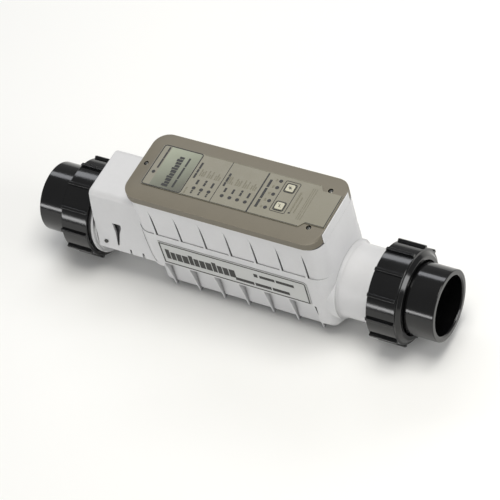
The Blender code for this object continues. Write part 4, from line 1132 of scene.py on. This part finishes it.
def build_print():
    """The dividers, boxes, indicator windows and greeked legends on the film."""
    right = LID_RIGHT - 0.0012
    marks = [
        film_frame("field_border", -0.0812, -0.0262, -0.0362, 0.0262, 0.0030, 0.0010),
        printed("divider", -0.0032, -0.0255, -0.0026, 0.0262),
        printed("thick_divider", 0.0373, -0.0255, 0.0388, 0.0245),
        film_frame("key_box", 0.0583, -0.0172, 0.0750, 0.0217, 0.0018, 0.0006),
        printed("front_rule", -0.0358, -0.0261, 0.0940, -0.0256),
        printed("tongue_rule", 0.0990, -0.0202, right, -0.0196),
        printed("end_rule", right - 0.0008, -0.0202, right, 0.0202),
    ]
    for y in KEY_Y.values():
        marks.append(film_frame("key_outline", KEY_X - 0.0058, y - 0.0058,
                                KEY_X + 0.0058, y + 0.0058, 0.0022, 0.0011))
    small = [printed("fine_line", x, -0.0190, x + 0.0005, 0.0205) for x in (0.0885, 0.0905, 0.0928)]
    small += [printed("back_rule", -0.0358, 0.0256, 0.0940, 0.0260)]
    marks += words("heading", -0.0325, -0.0040, (0.0062, 0.0044, 0.0080), 0.0022)
    marks += words("heading", 0.0012, -0.0040, (0.0048, 0.0060, 0.0040), 0.0022)
    small += words("foot_note", -0.0330, -0.0240, (0.0040, 0.0030), 0.0016)
    rows = (((0.0058,), ((0.0050, 0.0032), (0.0064,), (0.0040, 0.0030))),
            ((0.0040, 0.0026), ((0.0036, 0.0050), (0.0046,), (0.0060, 0.0024))),
            ((0.0064,), ((0.0054,), (0.0030, 0.0044), (0.0048,))),
            ((0.0052,), ((0.0040, 0.0040), (0.0052, 0.0030), (0.0034,))))
    for k, x in enumerate(FIRST_DOTS + NEXT_DOTS):
        bold, fine = legends(x, DOT_ROW_Y, *rows[k % 4])
        marks += bold
        small += fine
    for x in FIRST_DOTS:
        marks += words("foot_note", x, DOT_ROW_Y - 0.0068, (0.0022, 0.0014), 0.0018, 0.0005)
    marks += words("column_heading", 0.0438, -0.0175, (0.0100, 0.0130, 0.0095), 0.0026, 0.0014)
    for k, y in enumerate(COLUMN_DOTS):
        small += words("scale_mark", DOT_COLUMN_X - 0.0044, y - 0.0012,
                       (0.0012 + 0.0004 * (k % 2), 0.0010), 0.0018, 0.0004)
    small += words("key_legend", 0.0795, -0.0130, (0.0050, 0.0072, 0.0046, 0.0060), 0.0016)
    small += words("key_legend", 0.0832, -0.0130, (0.0066, 0.0038, 0.0080), 0.0012)
    marks += words("key_legend", 0.0790, -0.0150, (0.0016,), 0.0022)
    item = gather("film_printing", marks + indicator_dots())
    finished(item, finish("ink"))
    item = gather("film_small_print", small)
    finished(item, finish("pale_ink"))

    field = block("graded_field", (-0.0722, -0.0250, INK_LOW),
                  (-0.0376, 0.0250, FILM_TOP + FIELD_TOP))
    round_uprights(field, 0.0020, 5, lambda p: p.x > -0.0400)
    finished(field, finish("field"))
    blocks = (0.0030, 0.0026, 0.0034, 0.0022, 0.0030, 0.0036, 0.0024, 0.0030, 0.0028, 0.0032,
              0.0026)
    bold = letters("bold_mark", -0.0565, -0.0225, blocks, 0.0068)
    bold += words("field_line", -0.0475, -0.0215, (0.0100, 0.0150, 0.0110), 0.0020, 0.0012)
    bold += words("strip_line", -0.0742, -0.0035, (0.0120, 0.0085, 0.0060), 0.0018, 0.0005)
    bold.append(rod("strip_dot", *column(-0.0757, INK_LOW, INK_TOP, -0.0090), 0.0019, 32))
    item = gather("field_printing", bold)
    only(item)
    item.location = (0, 0, FIELD_TOP)
    placed("field_printing")
    finished(item, finish("ink"))


# Keys


def build_keys():
    reach, flange = KEY_SIZE / 2, KEY_SIZE / 2 + 0.0010
    top = LID_TOP + KEY_RISE
    for name, y in KEY_Y.items():
        item = block(f"{name}_fine", (KEY_X - reach, y - reach, KEY_LOW),
                     (KEY_X + reach, y + reach, top))
        round_uprights(item, 0.0016, 6)
        with editing(item, "FACE"):
            pick(item, lambda p: near(p.z, height(top)), "FACE")
            bpy.ops.mesh.bevel(offset=0.0005, segments=3, affect="EDGES")
        with editing(item, "FACE"):
            pick(item, lambda p: near(p.z, height(top)), "FACE")
            bpy.ops.mesh.inset(thickness=0.0008, depth=0)
            bpy.ops.mesh.inset(thickness=0.0006, depth=-KEY_DISH)
        unite(item, block("flange", (KEY_X - flange, y - flange, FLANGE_LOW),
                          (KEY_X + flange, y + flange, FLANGE_TOP)))
        finished(item, finish("key"), name, [name])
        low = top - KEY_DISH + MARK_GAP
        bars = [block("bar", (KEY_X - MARK_HALF, y - MARK_REACH, low),
                      (KEY_X + MARK_HALF, y + MARK_REACH, low + 0.00008))]
        if name == "more_key":
            bars.append(block("bar", (KEY_X - MARK_REACH, y - MARK_HALF, low),
                              (KEY_X + MARK_REACH, y + MARK_HALF, low + 0.00007)))
        mark = gather(f"{name}_mark", bars)
        finished(mark, finish("ink"), name)


# Nameplate


def build_nameplate():
    low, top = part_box("nameplate")
    item = block("nameplate_fine", (low.x, low.y, low.z - AXIS_Z), (top.x, top.y, top.z - AXIS_Z))
    round_edges(item, 0.0040, 8, lambda a, b: (
        near(a.x, b.x) and near(a.z, b.z) and near(a.x, top.x) and near(a.z, top.z)))
    soften(item, 0.0001, 1, lambda p: near(p.y, low.y))
    finished(item, finish("label"), replaces=["nameplate"])
    size = (top.x - low.x - 0.0020, top.z - low.z - 0.0020)
    border = outline_frame("border", size, 0.0032, 0.0014, lambda p: p.x > 0 and p.y > 0)
    border.rotation_euler = (math.pi / 2, 0, 0)
    face = low.y - 0.00001
    border.location = ((low.x + top.x) / 2, face, (low.z + top.z) / 2)
    only(border)
    marks = [placed("border")]

    def bar(x0, x1, z0, z1):
        base = Vector((low.x, face - PRINT_THICK, low.z - AXIS_Z))
        return block("bar", base + Vector((x0, 0, z0)), base + Vector((x1, PRINT_THICK, z1)))

    x = 0.0060
    for k in range(12):
        long = 0.0046 + 0.0007 * (k * 5 % 4)
        marks.append(bar(x, x + long, 0.0088, 0.0205 + 0.0030 * (k * 3 % 4 == 0)))
        x += long + 0.0011
    marks += [bar(x, x + long, 0.0058, 0.0102)
              for x, long in ((0.0850, 0.0210), (0.1075, 0.0180), (0.1270, 0.0190))]
    marks += [bar(x, x + long, 0.0204, 0.0244) for x, long in ((0.1150, 0.0170), (0.1335, 0.0200))]
    marks.append(bar(0.1085, 0.1128, 0.0200, 0.0250))
    item = gather("nameplate_printing", marks)
    finished(item, finish("ink"))


# Fasteners and gland


def screw(name, origin, axis, outward, seat, low, head=0.0018, radius=0.0025):
    """A pan head screw with a cross recess. Distances run along its own axis."""
    profile = [(seat, 0.0011), (seat, radius), (seat + head * 0.45, radius),
               (seat + head * 0.85, radius * 0.74), (seat + head, radius * 0.35)]
    profile = eased([(low, 0), (low, 0.0011), *profile, (seat + head, 0)], 0.0002, 2, closed=False)
    item = turned(f"{name}_fine", profile, axis, outward, origin, closed=False)
    axis, outward = Vector(axis), Vector(outward)
    middle = Vector((origin[0], origin[1], height(origin[2]))) + axis * (seat + head)
    cross = axis.cross(outward)
    arms = []
    for along, thin in ((outward, cross), (cross, outward)):
        clear_selection()
        bpy.ops.mesh.primitive_cube_add(size=1)
        arm = bpy.context.active_object
        arm.matrix_world = Matrix.Translation(middle) @ Matrix(
            (along * radius * 1.15, thin * 0.0006, axis * 0.0018)).transposed().to_4x4()
        arms.append(placed("recess_arm"))
    carve(item, *arms)
    finished(item, finish("dark_steel"), replaces=[name])


def build_screws():
    for name, (x, y) in LID_SCREWS.items():
        screw(name, (x, y, 0), (0, 0, 1), (1, 0, 0), screw_seat(name) + FIT_GAP, 0.0783)
    for name, side in (("cover_screw_front", -1), ("cover_screw_back", 1)):
        screw(name, (COVER_SCREW_X, 0, COVER_SCREW_HEIGHT), (0, side, 0), (1, 0, 0), 0.0399, 0.0322,
              head=0.0017, radius=0.0022)


def build_gland():
    bore = 0.0036
    dome = eased([(0.0489, bore), (0.0489, 0.0058), (0.0470, 0.0080), (0.0432, 0.0086),
                  (0.0390, 0.0086), (0.0390, 0.0074), (0.0262, 0.0074), (0.0262, bore)], 0.0006, 3)
    item = turned("cord_gland_fine", dome, (0, 1, 0), (1, 0, 0), (GLAND_X, 0, GLAND_HEIGHT))
    grips = []
    for k in range(12):
        angle = math.tau * k / 12
        x, z = GLAND_X + 0.0089 * math.cos(angle), GLAND_HEIGHT + 0.0089 * math.sin(angle)
        grips.append(rod("flute", *crossbar(x, z, 0.0396, 0.0480), 0.0008, 16))
    carve(item, *grips)
    finished(item, finish("nylon"), replaces=["cord_gland"])
    nut = rod("gland_lock_nut_fine", *crossbar(GLAND_X, GLAND_HEIGHT, 0.0270, 0.0300), 0.0101, 6)
    bevel_edges(nut, 0.0003, 2)
    carve(nut, rod("nut_hole", *crossbar(GLAND_X, GLAND_HEIGHT, 0.02, 0.04), 0.0077, 48))
    finished(nut, finish("nylon"), replaces=["gland_lock_nut"])


# Unions


def build_tailpiece(end, side):
    """A flanged pipe socket with an eased mouth."""
    face = NECK_END + FIT_GAP
    back = face + FLANGE_THICK
    stop = HALF_LENGTH - SOCKET_DEPTH
    profile = [
        (HALF_LENGTH, SOCKET_RADIUS + 0.0012), (HALF_LENGTH, TAIL_RADIUS - 0.0006),
        (HALF_LENGTH - 0.0006, TAIL_RADIUS), (back, TAIL_RADIUS), (back, TAIL_FLANGE),
        (face, TAIL_FLANGE), (face, PIPE_STOP_BORE), (stop, PIPE_STOP_BORE), (stop, SOCKET_RADIUS),
        (HALF_LENGTH - 0.0012, SOCKET_RADIUS),
    ]
    item = along_flow(f"{end}_tailpiece_fine", eased(profile, 0.0005), side)
    finished(item, finish("black"), f"{end}_tailpiece", [f"{end}_tailpiece"])


def grip_rib(name, side, angle):
    half = sizes().rib_width / 2
    shoulder = NUT_END - 0.0040
    ends = sorted((side * (NUT_START + 0.0004), side * (shoulder - 0.0004)))
    item = block(name, (ends[0], -half, 0.0460), (ends[1], half, RIB_RADIUS))
    soften(item, 0.0007, 3, lambda p: p.z > height(RIB_RADIUS) - 0.0001)
    item.matrix_world = (Matrix.Translation((0, 0, AXIS_Z)) @ Matrix.Rotation(angle, 4, "X")
                         @ Matrix.Translation((0, 0, -AXIS_Z)))
    only(item)
    return placed(name)


def build_nut(end, side):
    """The ribbed nut with its inside thread."""
    shoulder, lip = NUT_END - 0.0040, NUT_END - NUT_LIP
    profile = [
        (NUT_END, NUT_LIP_BORE), (NUT_END, 0.0425), (shoulder, 0.0462), (shoulder, NUT_RADIUS),
        (NUT_START, NUT_RADIUS), (NUT_START, NUT_BORE), (lip, NUT_BORE), (lip, NUT_LIP_BORE),
    ]
    item = along_flow(f"{end}_union_nut_fine", eased(profile, 0.0009), side)
    ribs = [grip_rib(f"rib_{k}", side, math.pi / RIB_COUNT + math.tau * k / RIB_COUNT)
            for k in range(RIB_COUNT)]
    unite(item, *ribs)
    unite(item, helix("female_thread", 0.0443, 0.0418, THREAD_MIDDLE + PITCH / 2, side))
    finished(item, finish("black"), f"{end}_union_nut", [f"{end}_union_nut"])


def build_seal(end, side):
    """A round rubber ring in the groove of the housing's end face."""
    reach = 0.0013
    ring = [(NECK_END - reach + reach * math.cos(a), SEAL_RADIUS + reach * math.sin(a))
            for a in (math.tau * k / 16 for k in range(16))]
    item = along_flow(f"{end}_union_seal_fine", ring, side)
    finished(item, finish("rubber"), replaces=[f"{end}_union_seal"])


def build_unions():
    for end, side in (("right", 1), ("left", -1)):
        build_tailpiece(end, side)
        build_nut(end, side)
        build_seal(end, side)


# Pieces kept from the frame

KEPT_FINISHES = {
    "titanium": [f"electrode_plate_{k}" for k in range(1, 10)] + ["anode_bus", "cathode_bus"],
    "nylon": ["inlet_plate_holder", "outlet_plate_holder", "flow_switch_body"],
    "steel": ["paddle_pin", "temperature_probe", "anode_post_nut", "cathode_post_nut"],
    "rubber": ["anode_post_seal", "cathode_post_seal", "flow_switch_seal"],
    "acetal": ["flow_paddle", "lead_connector"],
    "epoxy": ["processor_chip", "power_module", "less_key_switch", "more_key_switch",
              "salinity_probe"],
    "board": ["circuit_board"],
    "clear": ["indicator_lights"],
    "lead": ["sensor_lead"],
}


def finish_kept_pieces():
    for name, pieces in KEPT_FINISHES.items():
        for piece in pieces:
            slots = frame["nodes"][piece].data.materials
            slots.clear()
            slots.append(finish(name))


# Stage


def build_camera():
    view = bpy.context.scene.salt_cell_view
    camera = bpy.data.cameras.new("camera")
    camera.lens = view.lens
    item = bpy.data.objects.new("camera", camera)
    bpy.context.scene.collection.objects.link(item)
    flat = math.cos(view.elevation)
    back = Vector((math.sin(view.azimuth) * flat, -math.cos(view.azimuth) * flat,
                   math.sin(view.elevation)))
    level = Vector((0, 0, 1)).cross(back).normalized()
    upward = back.cross(level)
    right = level * math.cos(view.roll) - upward * math.sin(view.roll)
    up = back.cross(right)
    middle = Vector((0.0050, -0.0007, AXIS_Z))
    turn = Matrix((right, up, back)).transposed().to_4x4()
    item.matrix_world = Matrix.Translation(middle + back * view.distance) @ turn
    bpy.context.scene.camera = item


def soft_light(name, place, size, power, colour):
    light = bpy.data.lights.new(name, "AREA")
    light.shape = "RECTANGLE"
    light.size, light.size_y = size
    light.energy = power
    light.color = linear(colour)
    item = bpy.data.objects.new(name, light)
    bpy.context.scene.collection.objects.link(item)
    item.location = place
    item.rotation_euler = (Vector((0, 0, 0.05)) - Vector(place)).to_track_quat("-Z", "Y").to_euler()


def build_stage():
    clear_selection()
    bpy.ops.mesh.primitive_plane_add(size=12, location=(0, 0, 0))
    floor = placed("floor")
    made, _, shader, _ = new_finish("pale_floor")
    shader.inputs["Base Color"].default_value = (*linear(FLOOR_COLOUR), 1)
    shader.inputs["Roughness"].default_value = 0.85
    floor.data.materials.append(made)
    world = bpy.data.worlds.new("studio")
    world.use_nodes = True
    sky = world.node_tree.nodes["Background"]
    sky.inputs["Color"].default_value = (1, 1, 1, 1)
    sky.inputs["Strength"].default_value = WORLD_STRENGTH
    bpy.context.scene.world = world
    bpy.context.scene.view_settings.view_transform = "Standard"
    soft_light("key_light", (0.35, 0.10, 1.8), (1.0, 0.9), 21, "#FFFDF8")
    soft_light("end_light", (1.6, 0.1, 0.7), (0.7, 0.7), 9, "#FFFFFF")
    soft_light("back_light", (-0.60, 1.05, 1.25), (1.4, 0.35), 7, "#F8FAFF")
    soft_light("front_strip", (-0.65, -1.25, 0.24), (1.2, 0.16), 5.0, "#FFFFFF")


# Operators


class SALTCELL_OT_stage(bpy.types.Operator):
    """Adds the camera, the floor and the lights"""

    bl_idname = "saltcell.stage"
    bl_label = "Stage"

    def execute(self, context):
        build_camera()
        build_stage()
        return {"FINISHED"}


class SALTCELL_OT_housing(bpy.types.Operator):
    """Builds the finned white housing with its tube ends"""

    bl_idname = "saltcell.housing"
    bl_label = "Housing"

    def execute(self, context):
        build_housing()
        return {"FINISHED"}


class SALTCELL_OT_sensor_cover(bpy.types.Operator):
    """Builds the cover over the flow switch and probes"""

    bl_idname = "saltcell.sensor_cover"
    bl_label = "Sensor cover"

    def execute(self, context):
        build_sensor_cover()
        return {"FINISHED"}


class SALTCELL_OT_lid(bpy.types.Operator):
    """Builds the taupe lid and its gasket"""

    bl_idname = "saltcell.lid"
    bl_label = "Lid and gasket"

    def execute(self, context):
        build_lid()
        build_gasket()
        return {"FINISHED"}


class SALTCELL_OT_keypad(bpy.types.Operator):
    """Builds the keypad film and its printing"""

    bl_idname = "saltcell.keypad"
    bl_label = "Keypad film"

    def execute(self, context):
        build_film()
        build_print()
        return {"FINISHED"}


class SALTCELL_OT_keys(bpy.types.Operator):
    """Builds the two key caps"""

    bl_idname = "saltcell.keys"
    bl_label = "Keys"

    def execute(self, context):
        build_keys()
        return {"FINISHED"}


class SALTCELL_OT_nameplate(bpy.types.Operator):
    """Builds the nameplate and its printing"""

    bl_idname = "saltcell.nameplate"
    bl_label = "Nameplate"

    def execute(self, context):
        build_nameplate()
        return {"FINISHED"}


class SALTCELL_OT_screws(bpy.types.Operator):
    """Builds the lid screws and the cover screws"""

    bl_idname = "saltcell.screws"
    bl_label = "Screws"

    def execute(self, context):
        build_screws()
        return {"FINISHED"}


class SALTCELL_OT_gland(bpy.types.Operator):
    """Builds the cord gland and its lock nut"""

    bl_idname = "saltcell.gland"
    bl_label = "Cord gland"

    def execute(self, context):
        build_gland()
        return {"FINISHED"}


class SALTCELL_OT_unions(bpy.types.Operator):
    """Builds the tailpieces, the ribbed nuts and the ring seals"""

    bl_idname = "saltcell.unions"
    bl_label = "Unions"

    def execute(self, context):
        build_unions()
        return {"FINISHED"}


class SALTCELL_OT_kept_pieces(bpy.types.Operator):
    """Gives the pieces kept from the frame their finishes"""

    bl_idname = "saltcell.kept_pieces"
    bl_label = "Inner pieces"

    def execute(self, context):
        finish_kept_pieces()
        return {"FINISHED"}


OPERATORS = (
    SALTCELL_OT_stage, SALTCELL_OT_housing, SALTCELL_OT_sensor_cover, SALTCELL_OT_lid,
    SALTCELL_OT_keypad, SALTCELL_OT_keys, SALTCELL_OT_nameplate, SALTCELL_OT_screws,
    SALTCELL_OT_gland, SALTCELL_OT_unions, SALTCELL_OT_kept_pieces,
)


class SALTCELL_PT_panel(bpy.types.Panel):
    bl_idname = "SALTCELL_PT_panel"
    bl_label = "Salt cell"
    bl_space_type = "VIEW_3D"
    bl_region_type = "UI"
    bl_category = "Salt cell"

    def draw(self, context):
        for group in (context.scene.salt_cell_sizes, context.scene.salt_cell_colours,
                      context.scene.salt_cell_view):
            for name in group.bl_rna.properties.keys():
                if name not in ("rna_type", "name"):
                    self.layout.prop(group, name)
        for operator in OPERATORS:
            self.layout.operator(operator.bl_idname)


GROUPS = {
    "salt_cell_sizes": SaltCellSizes,
    "salt_cell_colours": SaltCellColours,
    "salt_cell_view": SaltCellView,
}


def register():
    for item in (*GROUPS.values(), *OPERATORS, SALTCELL_PT_panel):
        bpy.utils.register_class(item)
    for name, group in GROUPS.items():
        setattr(bpy.types.Scene, name, bpy.props.PointerProperty(type=group))


def unregister():
    for name in GROUPS:
        delattr(bpy.types.Scene, name)
    for item in (SALTCELL_PT_panel, *reversed(OPERATORS), *GROUPS.values()):
        bpy.utils.unregister_class(item)


def main():
    register()
    bpy.ops.saltcell.stage()
    bpy.ops.saltcell.housing()
    bpy.ops.saltcell.sensor_cover()
    bpy.ops.saltcell.lid()
    bpy.ops.saltcell.keypad()
    bpy.ops.saltcell.keys()
    bpy.ops.saltcell.nameplate()
    bpy.ops.saltcell.screws()
    bpy.ops.saltcell.gland()
    bpy.ops.saltcell.unions()
    bpy.ops.saltcell.kept_pieces()


if __name__ == "__main__":
    main()
